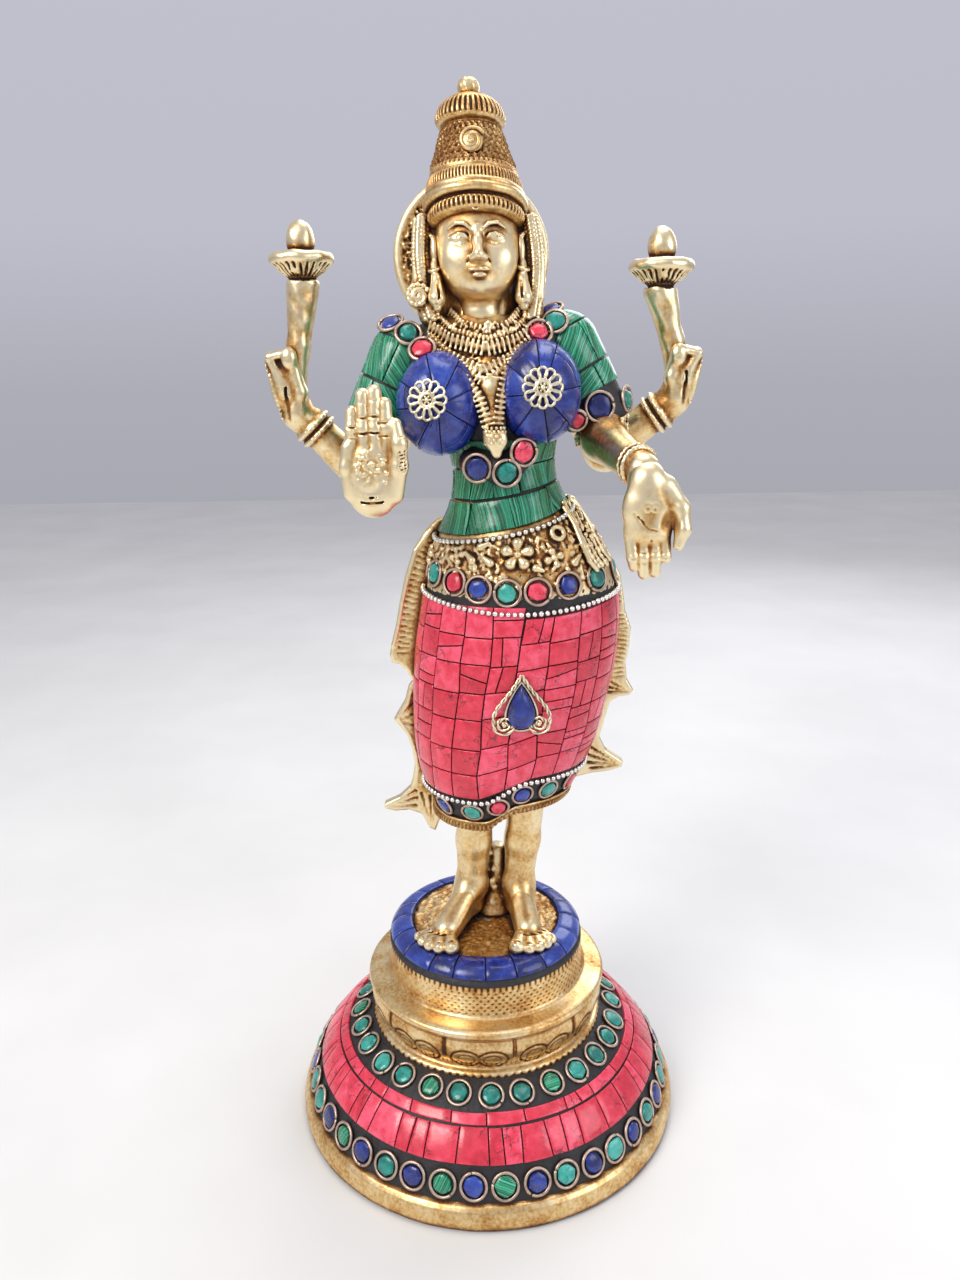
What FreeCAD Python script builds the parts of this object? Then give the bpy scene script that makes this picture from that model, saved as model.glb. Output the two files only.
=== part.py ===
"""Brass four-armed deity statuette on a domed, stone-inlaid base, modelled as an assembly of separate pieces.

Millimetres, +Z up. The origin is the centre of the base's foot, on the surface that the statuette stands on.
The figure looks along -Y. "Right" and "left" in the names are the figure's own sides, so right is -X.
"""
import FreeCAD
import Part
import math
import os

from FreeCAD import Placement, Rotation, Vector

# ---- driving dimensions: base and pedestal -------------------------------------------------------
foot_radius = 66.0          # outside of the brass rim, on the surface it stands on
rim_height = 7.6            # brass rim below the inlay
foot_land = 6.0             # width of the flat ring that the base rests on
dome_top_height = 34.0      # where the pedestal sits on the dome
dome_arc_radius = 39.8      # curvature of the finished dome
dome_arc_inset = 40.9       # the curvature's centre lies this far inside the foot's edge
dome_arc_drop = 36.5        # and this far below the dome's top
casting_wall = 3.2          # wall of the hollow castings
pedestal_setback = 32.5     # from the foot's edge in to the drum of the pedestal
collar_bulge = 7.6          # how far the collar swells out round the drum
pedestal_height = 31.0      # pedestal casting, from the dome's top to the shoulder
plate_setback = 8.1         # from the drum in to the edge of the plate
plate_thickness = 3.0

# ---- driving dimensions: inlay --------------------------------------------------------------------
bed_thickness = 0.8         # black mastic under every stone
tile_thickness = 1.4
grout = 0.45                # gap between two tiles
stone_radius = 3.2          # set stones of the base
bezel_outer_radius = 4.45   # wire ring round a base stone
bezel_wire = 0.95
stone_rise = 1.5            # how far a set stone stands out of its bed
lower_stone_count = 40
upper_stone_count = 28
wide_tile_count = 36
narrow_tile_count = 26
pedestal_tile_count = 20
bead_radius = 0.85
bead_pitch = 2.3
seat_depth = 1.6            # how far a block is started below its seat before it is trimmed

# ---- driving dimensions: fixing -------------------------------------------------------------------
stud_radius = 4.0
stud_clearance = 0.25
stud_overrun = 3.0          # thread that shows below the nut
nut_across_flats = 13.0
nut_thickness = 6.5
washer_radius = 9.0
washer_thickness = 1.6

# ---- driving dimensions: figure, measured up from the plate that it stands on --------------------
hem_rise = 53.0             # coral's lower edge
coral_top_rise = 114.0      # coral's upper edge
belt_rise = 122.0           # top of the stone belt
skirt_foot_rise = 44.0      # underside of the skirt
cuff_drop = 6.0             # how far the cuff over the right leg hangs below it
bodice_foot_rise = 139.5    # bodice's lower edge, half way round
bodice_slant = 5.5          # how much higher it is at the figure's left, and lower at the right
bodice_top_rise = 164.0     # top of the midriff tiles
trunk_columns = 20
skirt_tile_rows = 7
hem_stone_count = 14
belt_stone_radius = 2.5
belt_bezel_radius = 3.7
hem_stone_radius = 2.2
hem_bezel_radius = 3.2
small_wire = 0.8
bust_radius = 12.4          # finished, over the lapis
head_centre = Vector(0.6, -3.0, 284.0)
head_tilt = 8.0             # the head and crown lean back by this angle, in degrees
halo_radius = 23.5
halo_thickness = 3.4
finial_radius = 3.1
strand_width = 2.4
strand_thickness = 1.6

# ---- derived -----------------------------------------------------------------------------------------
inlay = bed_thickness + tile_thickness
pedestal_top = dome_top_height + pedestal_height
floor_height = pedestal_top + plate_thickness
dome_arc_r = foot_radius - dome_arc_inset
pedestal_radius = foot_radius - pedestal_setback
plate_radius = pedestal_radius - plate_setback
dome_arc_z = dome_top_height - dome_arc_drop
figure_floor = 68.0         # the figure is drawn standing at this height, then set on the plate

# Trunk of the figure above the plate: rise, centre x, half width, half depth of the brass under the inlay.
TRUNK = [
    (44.0, 4.6, 18.6, 15.0), (54.0, 5.6, 23.2, 18.4), (66.0, 7.2, 27.0, 21.0), (80.0, 8.9, 29.0, 22.6),
    (97.0, 11.0, 30.0, 23.2), (112.0, 12.4, 29.0, 22.4), (122.0, 12.6, 27.4, 21.0), (134.0, 11.8, 23.2, 17.8),
    (143.0, 9.6, 18.0, 14.8), (151.0, 8.2, 15.3, 12.8), (160.0, 7.2, 15.8, 12.6), (169.0, 5.0, 19.5, 13.6),
    (179.0, 3.2, 23.5, 14.6), (188.0, 2.2, 24.0, 13.6), (195.0, 1.6, 18.0, 11.2), (200.0, 1.2, 9.0, 8.0),
]

shapes = {}


# ---- helpers ----------------------------------------------------------------------------------------
def keep(name, shape):
    """Stores a node; a list becomes a compound of separate solids."""
    if isinstance(shape, (list, tuple)):
        shape = Part.makeCompound([solid for item in shape for solid in item.Solids])
    shapes[name] = shape
    return shape


def biggest(shape):
    return max(shape.Solids, key=lambda s: s.Volume)


def trimmed(shape, *names):
    """Cuts away what the named nodes already fill, and keeps the biggest piece that is left."""
    for name in names:
        for other in shapes[name].Solids:
            if other.BoundBox.intersect(shape.BoundBox):
                shape = biggest(shape.cut(other))
    return shape


def copies(shape, count, phase=0.0):
    """Equal copies of a shape, turned round the statuette's axis."""
    made = []
    for k in range(count):
        turned = shape.copy()
        turned.rotate(Vector(0, 0, 0), Vector(0, 0, 1), 360.0 * k / count + phase)
        made.append(turned)
    return made


def interpolate(rows, t):
    """Smooth values through rows of (t, a, b, ...)."""
    last = len(rows) - 1
    t = min(max(t, rows[0][0]), rows[last][0])
    i = 0
    while i < last - 1 and t > rows[i + 1][0]:
        i += 1
    span = rows[i + 1][0] - rows[i][0]
    u = (t - rows[i][0]) / span

    def slope(k, n):
        low, high = max(k - 1, 0), min(k + 1, last)
        return (rows[high][n] - rows[low][n]) / (rows[high][0] - rows[low][0])

    return [
        (2 * u**3 - 3 * u**2 + 1) * rows[i][n] + (u**3 - 2 * u**2 + u) * span * slope(i, n)
        + (3 * u**2 - 2 * u**3) * rows[i + 1][n] + (u**3 - u**2) * span * slope(i + 1, n)
        for n in range(1, len(rows[0]))
    ]


def polyhedron(triangles):
    """Closed solid through a list of triangles."""
    faces = [Part.Face(Part.makePolygon([a, b, c, a])) for a, b, c in triangles]
    solid = Part.makeSolid(Part.makeShell(faces))
    if solid.Volume < 0:
        solid.reverse()
    return solid


def block(low, high):
    """Closed solid between two four-cornered faces; both are folded along the first diagonal."""
    triangles = [(low[0], low[2], low[1]), (low[0], low[3], low[2])]
    triangles += [(high[0], high[1], high[2]), (high[0], high[2], high[3])]
    for k in range(4):
        n = (k + 1) % 4
        triangles += [(low[k], low[n], high[n]), (low[k], high[n], high[k])]
    return polyhedron(triangles)


def capsule(start, end, r0, r1):
    """Tapering rod with round ends."""
    start, end = Vector(*start), Vector(*end)
    along = end - start
    if abs(r0 - r1) < 1e-6:
        rod = Part.makeCylinder(r0, along.Length, start, along)
    else:
        rod = Part.makeCone(r0, r1, along.Length, start, along)
    return rod.fuse([Part.makeSphere(r0, start), Part.makeSphere(r1, end)])


def chain(rows):
    """Tapering rods joined end to end through rows of (x, y, z, radius)."""
    links = [capsule(a[:3], b[:3], a[3], b[3]) for a, b in zip(rows, rows[1:])]
    return links[0].fuse(links[1:]) if len(links) > 1 else links[0]


def flat(point):
    return Vector(point[0], 0, point[1])


def outline_face(profile):
    """Face of a closed outline of (r, z) points, where ("arc", middle, end) is an arc."""
    edges, at = [], profile[0]
    for step in profile[1:] + [profile[0]]:
        if step[0] == "arc":
            middle, end = step[1], step[2]
            edges.append(Part.Arc(flat(at), flat(middle), flat(end)).toShape())
            at = end
        elif math.dist(at, step) > 1e-6:
            edges.append(Part.LineSegment(flat(at), flat(step)).toShape())
            at = step
    return Part.Face(Part.Wire(edges))


def revolved(profile, degrees=360.0):
    return outline_face(profile).revolve(Vector(0, 0, 0), Vector(0, 0, 1), degrees)


def set_stone(at, normal, radius, rise):
    """A short round stone with a chamfered top, started below its seat."""
    stone = Part.makeCylinder(radius, seat_depth + rise * 0.6, at - normal * seat_depth, normal)
    cap = Part.makeCone(radius, radius * 0.72, rise * 0.4, at + normal * rise * 0.6, normal)
    return stone.fuse(cap)


def wire_ring(at, normal, outer, wire):
    foot = at - normal * seat_depth
    tube = Part.makeCylinder(outer, seat_depth + wire, foot, normal)
    return tube.cut(Part.makeCylinder(outer - wire, seat_depth + wire, foot, normal))


def below(height, size=200.0):
    return Part.makeBox(2 * size, 2 * size, size, Vector(-size, -size, height - size))


# ---- base ------------------------------------------------------------------------------------------
def dome_at(degrees, inset):
    """Point (r, z) on the dome's curve, inset below its finished surface."""
    t = math.radians(degrees)
    r = dome_arc_radius - inset
    return (dome_arc_r + r * math.cos(t), dome_arc_z + r * math.sin(t))


def dome_angle(height, inset):
    return math.degrees(math.asin((height - dome_arc_z) / (dome_arc_radius - inset)))


def dome_band(low, high, outer_inset, inner_inset):
    """Outline between two insets of the dome and two angles along its curve."""
    middle = (low + high) / 2
    return [
        dome_at(low, inner_inset), dome_at(low, outer_inset),
        ("arc", dome_at(middle, outer_inset), dome_at(high, outer_inset)), dome_at(high, inner_inset),
        ("arc", dome_at(middle, inner_inset), dome_at(low, inner_inset)),
    ]


def ring_tile(outline, count, radius):
    """One tile of a ring, short of its share of the turn by the grout at this radius."""
    return revolved(outline, 360.0 / count - math.degrees(grout / radius))


def build_base():
    hollow_inset = inlay + casting_wall
    rim_r = dome_at(dome_angle(rim_height, 0), 0)[0] + 1.2
    low, top = dome_angle(rim_height, inlay), dome_angle(dome_top_height, inlay)
    inner_top = dome_angle(dome_top_height - casting_wall, hollow_inset)
    inner_low = dome_angle(rim_height, hollow_inset)
    bore = stud_radius + stud_clearance
    keep("base_casting", revolved([
        (foot_radius - foot_land, 0), (foot_radius - 0.4, 0), (foot_radius, 1.2), (rim_r, rim_height),
        dome_at(low, inlay), ("arc", dome_at((low + top) / 2, inlay), dome_at(top, inlay)),
        (bore, dome_top_height), (bore, dome_top_height - casting_wall), dome_at(inner_top, hollow_inset),
        ("arc", dome_at((inner_low + inner_top) / 2, hollow_inset), dome_at(inner_low, hollow_inset)),
    ]))
    bed = keep("base_mastic", revolved(dome_band(low + 0.4, top - 0.3, tile_thickness, inlay)))
    # Coral bands: big square tiles, then a narrow course above them.
    courses = (("wide", 31.0, 47.0, wide_tile_count), ("narrow", 47.8, 51.8, narrow_tile_count))
    for name, start, stop, count in courses:
        outline = dome_band(start, stop, 0.0, tile_thickness)
        tile = ring_tile(outline, count, dome_at((start + stop) / 2, 0)[0])
        keep(f"base_{name}_coral_tiles", copies(tile, count, 3.0))
    for row, count, degrees in (("lower", lower_stone_count, 22.8), ("upper", upper_stone_count, 60.2)):
        at, tilt = flat(dome_at(degrees, tile_thickness)), math.radians(degrees)
        normal = Vector(math.cos(tilt), 0, math.sin(tilt))
        ring = biggest(wire_ring(at, normal, bezel_outer_radius, bezel_wire).cut(bed))
        stone = biggest(set_stone(at, normal, stone_radius, stone_rise).cut(bed))
        keep(f"base_{row}_bezels", copies(biggest(ring), count, -90.0))
        stones = copies(stone, count, -90.0)
        if row == "lower":
            keep("base_lapis_stones", stones[1::2])
            keep("base_lower_turquoise_stones", [s for k, s in enumerate(stones) if k % 2 == 0 and k % 6])
            keep("base_malachite_stones", stones[::6])
        else:
            keep("base_upper_turquoise_stones", stones)


def build_pedestal():
    base, top, wall = dome_top_height, pedestal_top, casting_wall
    drum, collar = pedestal_radius, pedestal_radius + collar_bulge
    inner = drum - wall
    bore = stud_radius + stud_clearance
    shoulder = top - 2.6
    keep("pedestal_casting", revolved([
        (inner, base), (collar - 2.6, base), (collar - 1.6, base + 1.0), (collar - 2.9, base + 2.6),
        (collar - 1.7, base + 8.0), (collar - 0.2, base + 13.4),
        ("arc", (collar - 0.9, base + 15.6), (collar - 3.0, base + 16.6)),
        (drum, base + 18.4), (drum, shoulder - 0.8), (drum - 0.8, shoulder),
        (plate_radius + 2.0, top), (bore, top), (bore, top - wall), (inner, top - wall),
    ]))
    # The lapis ring lies on the sloping shoulder between the drum's edge and the plate.
    low, high = (drum - 0.8, shoulder), (plate_radius + 2.0, top)
    slope = math.dist(low, high)
    nr, nz = (high[1] - low[1]) / slope, (low[0] - high[0]) / slope
    inside = plate_radius + 0.1

    def lifted(point, by):
        return (point[0] + nr * by, point[1] + nz * by)

    bed = bed_thickness
    keep("pedestal_mastic", revolved([
        low, lifted(low, bed), lifted(high, bed), (inside, top + bed), (inside, top), high,
    ]))
    middle = ((low[0] + high[0]) / 2, (low[1] + high[1]) / 2)
    tile = ring_tile([
        lifted(low, bed), lifted(low, bed + tile_thickness),
        ("arc", lifted(middle, bed + tile_thickness + 1.2), lifted(high, bed + tile_thickness)),
        (inside, top + bed + tile_thickness * 0.8), (inside, top + bed), lifted(high, bed),
    ], pedestal_tile_count, middle[0])
    keep("pedestal_lapis_tiles", copies(tile, pedestal_tile_count, 4.0))
    plate = Part.makeCylinder(plate_radius, plate_thickness, Vector(0, 0, top))
    keep("standing_plate", plate.cut(Part.makeCylinder(stud_radius, plate_thickness, Vector(0, 0, top))))


def build_fixing():
    """The stud that holds plate, pedestal and base together, with its washer and nut in the hollow."""
    under = dome_top_height - casting_wall
    low = under - washer_thickness - nut_thickness
    end = low - stud_overrun
    keep("fixing_stud", Part.makeCylinder(stud_radius, floor_height - end, Vector(0, 0, end)))
    seat = Vector(0, 0, under - washer_thickness)
    washer = Part.makeCylinder(washer_radius, washer_thickness, seat)
    keep("fixing_washer", washer.cut(Part.makeCylinder(stud_radius + stud_clearance, washer_thickness, seat)))
    corner = nut_across_flats / 2 / math.cos(math.pi / 6)
    turns = [k * math.pi / 3 for k in range(7)]
    ring = [Vector(corner * math.cos(t), corner * math.sin(t), low) for t in turns]
    nut = Part.Face(Part.makePolygon(ring)).extrude(Vector(0, 0, nut_thickness))
    keep("fixing_nut", nut.cut(Part.makeCylinder(stud_radius, nut_thickness, Vector(0, 0, low))))


# ---- trunk: the skirt, girdle and torso share one grid of facets -------------------------------
def trunk_point(angle, rise, offset=0.0):
    """A point over the trunk's surface; angle 0 faces +X and -90 the front."""
    cx, a, b = interpolate(TRUNK, rise)
    c, s = math.cos(math.radians(angle)), math.sin(math.radians(angle))
    normal = Vector(c / a, s / b, 0)
    normal.normalize()
    return Vector(cx + a * c, b * s, figure_floor + rise) + normal * offset


def even_angles(count, rise=90.0):
    """Angles that divide the trunk's girth into equal lengths, starting half a share right of the front."""
    steps = [trunk_point(-90 + k, rise) for k in range(361)]
    lengths = [0.0]
    for a, b in zip(steps, steps[1:]):
        lengths.append(lengths[-1] + (b - a).Length)
    angles = []
    for k in range(count):
        want = lengths[-1] * (k + 0.5) / count
        n = next(i for i, v in enumerate(lengths) if v >= want)
        angles.append(-90 + n - (lengths[n] - want) / (lengths[n] - lengths[n - 1]))
    return angles


COLUMNS = even_angles(trunk_columns)


def wrap_distance(angle, other):
    return abs((angle - other + 180) % 360 - 180)


def hem_edge(angle):
    """The coral's lower edge dips over the figure's right knee."""
    return hem_rise + 2.0 - 4.5 * math.exp(-(wrap_distance(angle, -108) / 34.0) ** 2)


def coral_edge(angle):
    """The coral's upper edge sags a little in front."""
    return coral_top_rise + 1.5 + 1.8 * math.sin(math.radians(angle))


def bodice_edge(angle):
    return bodice_foot_rise + bodice_slant * math.cos(math.radians(angle))


def level(height, offset):
    """One ring of grid points; height is a number or depends on the angle."""
    return [trunk_point(a, height(a) if callable(height) else height, offset) for a in COLUMNS]


def skin(levels):
    """Triangles between successive rings, every cell folded along the same diagonal."""
    triangles = []
    for low, high in zip(levels, levels[1:]):
        for k in range(len(low)):
            n = (k + 1) % len(low)
            triangles += [(low[k], low[n], high[n]), (low[k], high[n], high[k])]
    return triangles


def cap(ring):
    middle = Vector(0, 0, 0)
    for p in ring:
        middle = middle + p * (1.0 / len(ring))
    return [(ring[k], ring[(k + 1) % len(ring)], middle) for k in range(len(ring))]


def trunk_solid(heights, offset=0.0):
    levels = [level(h, offset) for h in heights]
    return polyhedron(skin(levels) + cap(levels[0]) + cap(levels[-1]))


def trunk_shell(heights, inner, outer):
    inside = [level(h, inner) for h in heights]
    outside = [level(h, outer) for h in heights]
    rims = skin([inside[0], outside[0]]) + skin([inside[-1], outside[-1]])
    return polyhedron(skin(inside) + skin(outside) + rims)


def grid_tile(low, high, column, seat, thickness):
    """A tile on one cell of the grid. Its corners move in along the fold, so it seats on both facets."""
    n = (column + 1) % trunk_columns
    spots = ((column, low), (n, low), (n, high), (column, high))
    foot = [trunk_point(COLUMNS[c], h(COLUMNS[c]), seat) for c, h in spots]
    head = [trunk_point(COLUMNS[c], h(COLUMNS[c]), seat + thickness) for c, h in spots]
    shift = grout * 0.75

    def shrunk(quad):
        centre = (quad[0] + quad[2]) * 0.5
        return [p + (centre - p) * (shift / (centre - p).Length) for p in quad]

    return block(shrunk(foot), shrunk(head))


def between(low, high, share):
    return lambda a: low(a) + (high(a) - low(a)) * share


def local_bed(angle, low, high, outer):
    """The facets near an angle, as blocks to trim a stone's seat with."""
    ends = COLUMNS[1:] + [COLUMNS[0] + 360]
    near = sorted(range(trunk_columns), key=lambda k: wrap_distance((COLUMNS[k] + ends[k]) / 2, angle))
    pieces = []
    for k in near[:3]:
        n = (k + 1) % trunk_columns
        cells = [(COLUMNS[k], low), (COLUMNS[n], low), (COLUMNS[n], high), (COLUMNS[k], high)]
        inside = [trunk_point(a, h(a), -3.0) for a, h in cells]
        pieces.append(block(inside, [trunk_point(a, h(a), outer) for a, h in cells]))
    return pieces


def seated(shape, beds):
    for bed in beds:
        shape = shape.cut(bed)
    return biggest(shape)


def bead_string(height, seat):
    """Beads with a small flat, each resting on the facet under it."""
    path = level(height, seat)
    beads = []
    sink = 0.8 * bead_radius
    for k, start in enumerate(path):
        end = path[(k + 1) % len(path)]
        along = end - start
        count = max(2, round(along.Length / bead_pitch))
        out = Vector(along.y, -along.x, 0)
        out.normalize()
        for i in range(count):
            at = start + along * ((i + 0.5) / count) + out * (sink + 0.02)
            beads.append(Part.makeSphere(bead_radius, at, out, -math.degrees(math.asin(0.8)), 90, 360))
    return beads


def build_legs():
    z = figure_floor
    knee = z + skirt_foot_rise + 10
    legs = {
        "right_leg": (
            [(-2.6, -0.5, knee, 6.0), (-2.8, 0.0, z + 28, 5.2), (-6.0, 2.0, z + 8, 4.9), (-6.4, 2.0, z, 4.9)],
            [(-9.0, -17.0), (-13.4, -18.4), (-18.0, -18.0)],
        ),
        "left_leg": (
            [(14.6, -0.5, knee, 6.0), (13.9, 0.0, z + 30, 5.3), (11.8, 2.0, z + 8, 4.9), (11.8, 2.0, z, 4.9)],
            [(11.2, -18.0), (15.6, -19.4), (19.8, -17.4)],
        ),
    }
    for name, (rows, toes) in legs.items():
        x, y = rows[-1][0], rows[-1][1]
        foot = [capsule((x, y + 0.5, z + 3.5), (tx, ty, z + 2.2), 4.9, 2.6) for tx, ty in toes]
        leg = chain(rows).fuse(foot).cut(below(z))
        keep(name, biggest(leg.cut(Part.makeCylinder(stud_radius + 1, 1, Vector(0, 0, z)))))
    web = Part.makeCone(6.4, 3.2, 24.0, Vector(3.2, 5.0, z), Vector(0.04, 0, 1))
    keep("ankle_web", trimmed(web, "right_leg", "left_leg"))


def build_skirt():
    foot, belt_top = (lambda a: skirt_foot_rise), (lambda a: belt_rise)
    hem_low = lambda a: hem_edge(a) - 7.4
    rows = [between(hem_edge, coral_edge, k / skirt_tile_rows) for k in range(skirt_tile_rows + 1)]
    core = trunk_solid([foot, hem_low] + rows + [belt_top])
    keep("skirt_core", seated(core, shapes["right_leg"].Solids + shapes["left_leg"].Solids))
    keep("skirt_mastic", trunk_shell([hem_low] + rows + [belt_top], 0.0, bed_thickness))
    cuffs = []
    plans = (("right_leg", -2.8, -2.2, cuff_drop, 8.6), ("left_leg", 14.2, -1.2, cuff_drop / 2, 8.2))
    for name, x, y, drop, r in plans:
        low = skirt_foot_rise - drop
        cuff = Part.makeCone(r, r + 1.6, skirt_foot_rise - low, Vector(x, y, figure_floor + low))
        cuffs.append(seated(cuff, [shapes[name]]))
    cuffs[1] = seated(cuffs[1], cuffs[:1])
    keep("hem_cuffs", cuffs)
    keep("skirt_coral_tiles", [
        grid_tile(rows[r], rows[r + 1], c, bed_thickness, tile_thickness)
        for r in range(skirt_tile_rows) for c in range(trunk_columns)
    ])
    bezels, stones = [], {"coral": [], "lapis": [], "turquoise": []}
    belt_angles = [a + (b - a) / 2 for a, b in zip(COLUMNS, COLUMNS[1:] + [COLUMNS[0] + 360])]
    hem_angles = [-96 + 360.0 * k / hem_stone_count for k in range(hem_stone_count)]
    plans = (
        (belt_angles, coral_edge, belt_top, belt_stone_radius, belt_bezel_radius),
        (hem_angles, hem_low, hem_edge, hem_stone_radius, hem_bezel_radius),
    )
    kinds = ("turquoise", "coral", "lapis")
    for angles, low, high, radius, ring in plans:
        middle = between(low, high, 0.5)
        for k, angle in enumerate(angles):
            at = trunk_point(angle, middle(angle), bed_thickness - 0.15)
            across = trunk_point(angle + 3, middle(angle)) - trunk_point(angle - 3, middle(angle))
            up = trunk_point(angle, middle(angle) + 2) - trunk_point(angle, middle(angle) - 2)
            normal = across.cross(up)
            normal.normalize()
            beds = local_bed(angle, low, high, bed_thickness)
            bezels.append(seated(wire_ring(at, normal, ring, small_wire), beds))
            stones[kinds[k % 3]].append(seated(set_stone(at, normal, radius, stone_rise), beds))
    keep("skirt_bezels", bezels)
    for kind, group in stones.items():
        keep(f"skirt_{kind}_stones", group)
    lower = lambda a: bodice_edge(a) - 1.2
    keep("girdle", trunk_solid([belt_top, between(belt_top, bodice_edge, 0.5), bodice_edge]))
    keep("bead_strings", bead_string(coral_edge, bed_thickness) + bead_string(hem_edge, bed_thickness)
         + bead_string(lower, 0.0))


def build_teardrop():
    """Cabochon and wire frame on the front of the skirt."""
    face = bed_thickness + tile_thickness
    at = trunk_point(-86.0, 89.0, face)
    spin = Placement(at + Vector(0, 0.6, 0), Rotation(Vector(1, 0, 0), 90))
    half = [(0, 6.6), (2.9, 1.6), (4.0, -1.6), (2.6, -4.0), (0, -4.9)]
    points = [Vector(x, y, 0) for x, y in half]
    points += [Vector(-p.x, p.y, 0) for p in points[3:0:-1]]
    drop = Part.Face(Part.makePolygon(points + points[:1])).extrude(Vector(0, 0, 3.2))
    drop.Placement = spin
    wire, path = 0.6, [(0, 9.4), (4.8, 3.2), (8.2, -3.4)]
    frame = []
    for side in (1, -1):
        for a, b in zip(path, path[1:]):
            frame.append(capsule((side * a[0], a[1], 1.0), (side * b[0], b[1], 1.0), wire, wire))
        frame.append(Part.makeTorus(2.7, wire, Vector(side * 5.6, -4.6, 1.0)))
    whole = frame[0].fuse(frame[1:])
    whole.Placement = spin
    keep("teardrop_cabochon", trimmed(drop, "skirt_mastic", "skirt_coral_tiles"))
    keep("teardrop_wire", trimmed(whole, "teardrop_cabochon", "skirt_coral_tiles"))


def build_drapery():
    outlines = {
        "sash_right": [
            (-11, 138), (-17.5, 132), (-20.8, 122), (-24.6, 108), (-29.4, 94), (-27.6, 89), (-20, 85),
            (-12, 96), (-8, 122),
        ],
        "sash_left": [
            (27, 146), (32.5, 140), (38.5, 131), (43.6, 120), (45.6, 111), (41, 110), (34, 122), (24, 137),
        ],
        "pleats_right": [
            (-17, 82), (-24.5, 78), (-29.6, 71), (-26.6, 65.5), (-23.4, 63), (-22.8, 56), (-26, 49),
            (-33.8, 41.6), (-25, 39.2), (-12, 40), (-10, 54),
        ],
        "pleats_left": [
            (36, 109), (46.8, 104), (47.6, 97), (44.6, 88), (49.4, 80), (43.4, 76), (40.8, 68), (42, 62),
            (47, 55.8), (37, 52), (28, 46), (22, 48), (26, 58),
        ],
    }
    around_it = ("skirt_core", "girdle", "skirt_mastic", "skirt_coral_tiles", "hem_cuffs", "skirt_bezels",
                 "skirt_coral_stones", "skirt_lapis_stones", "skirt_turquoise_stones", "bead_strings")
    for name, outline in outlines.items():
        points = [Vector(x, 2.0, figure_floor + z) for x, z in outline]
        plate = Part.Face(Part.makePolygon(points + points[:1])).extrude(Vector(0, 5.6, 0))
        keep(name, trimmed(plate, *around_it))


# ---- bodice and arms -----------------------------------------------------------------------------------
BUSTS = (Vector(-10.8, -14.4, 242.8), Vector(16.8, -14.4, 244.2))
SLEEVES = {
    "right": [(-22.6, 1.4, 257.0, 8.2), (-30.2, -1.6, 232.0, 6.8)],
    "left": [(26.0, 1.4, 258.0, 8.2), (35.6, -1.0, 238.5, 7.0)],
}
FOREARMS = {
    "right": [(-30.4, -5.0, 223.0, 6.2), (-28.4, -33.5, 218.4, 4.7)],
    "left": [(38.0, -5.0, 229.0, 6.4), (45.0, -27.0, 223.4, 4.8)],
}
REAR_ARMS = {
    "right": [(-17, 9, 256, 6.6), (-38.0, 13.6, 219.0, 6.2), (-58.6, 8.4, 238.4, 4.8)],
    "left": [(21, 9, 257, 6.6), (42.0, 13.4, 227.0, 6.2), (58.6, 8.2, 241.6, 4.8)],
}


def cap_band(start, stop, outer, inner):
    """Outline of part of a round cap, between two angles from its axis."""
    def at(degrees, radius):
        return (radius * math.sin(math.radians(degrees)), radius * math.cos(math.radians(degrees)))

    middle = (start + stop) / 2
    return [
        at(start, inner), at(start, outer), ("arc", at(middle, outer), at(stop, outer)), at(stop, inner),
        ("arc", at(middle, inner), at(start, inner)),
    ]


def placed(shape, place):
    moved = shape.copy()
    moved.Placement = place.multiply(moved.Placement)
    return moved


def build_torso():
    top = lambda a: bodice_top_rise
    middle = between(bodice_edge, top, 0.5)
    trunk = trunk_solid([bodice_edge, middle, top, 172.0, 180.0, 188.0, 195.0, 200.0])
    keep("torso_core", trunk.fuse([Part.makeSphere(bust_radius - inlay, c) for c in BUSTS]))
    outer = [Part.makeSphere(bust_radius, c) for c in BUSTS]
    tiles = []
    for c in range(trunk_columns):
        for low, high in ((bodice_edge, middle), (middle, top)):
            tile = grid_tile(low, high, c, 0.0, tile_thickness)
            pieces = tile.cut(outer).Solids
            tiles += [p for p in pieces if p.Volume > 1.0]
    keep("midriff_malachite_tiles", tiles)
    beds, lapis = [], []
    bed_radius = bust_radius - tile_thickness
    for c in BUSTS:
        place = Placement(c, Rotation(Vector(1, 0, 0), 90))
        beds.append(placed(revolved(cap_band(0.0, 84.0, bed_radius, bust_radius - inlay)), place).cut(trunk))
        lapis.append(placed(revolved(cap_band(0.0, 24.0, bust_radius, bed_radius)), place))
        for start, stop, count in ((26.0, 52.0, 5), (54.0, 80.0, 7)):
            outline = cap_band(start, stop, bust_radius, bed_radius)
            tile = ring_tile(outline, count, bust_radius * math.sin(math.radians(start)))
            for piece in copies(tile, count, 20.0):
                lapis.append(placed(piece, place).cut(trunk))
    keep("bodice_mastic", [biggest(b) for b in beds])
    keep("bust_lapis_tiles", [biggest(t) for t in lapis])
    keep("bust_rosettes", [
        rosette(Vector(BUSTS[0].x - 1.8, BUSTS[0].y, BUSTS[0].z + 1.0), -bust_radius + 0.2),
        rosette(Vector(BUSTS[1].x + 0.6, BUSTS[1].y, BUSTS[1].z + 1.4), -bust_radius + 0.2),
    ])


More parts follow.
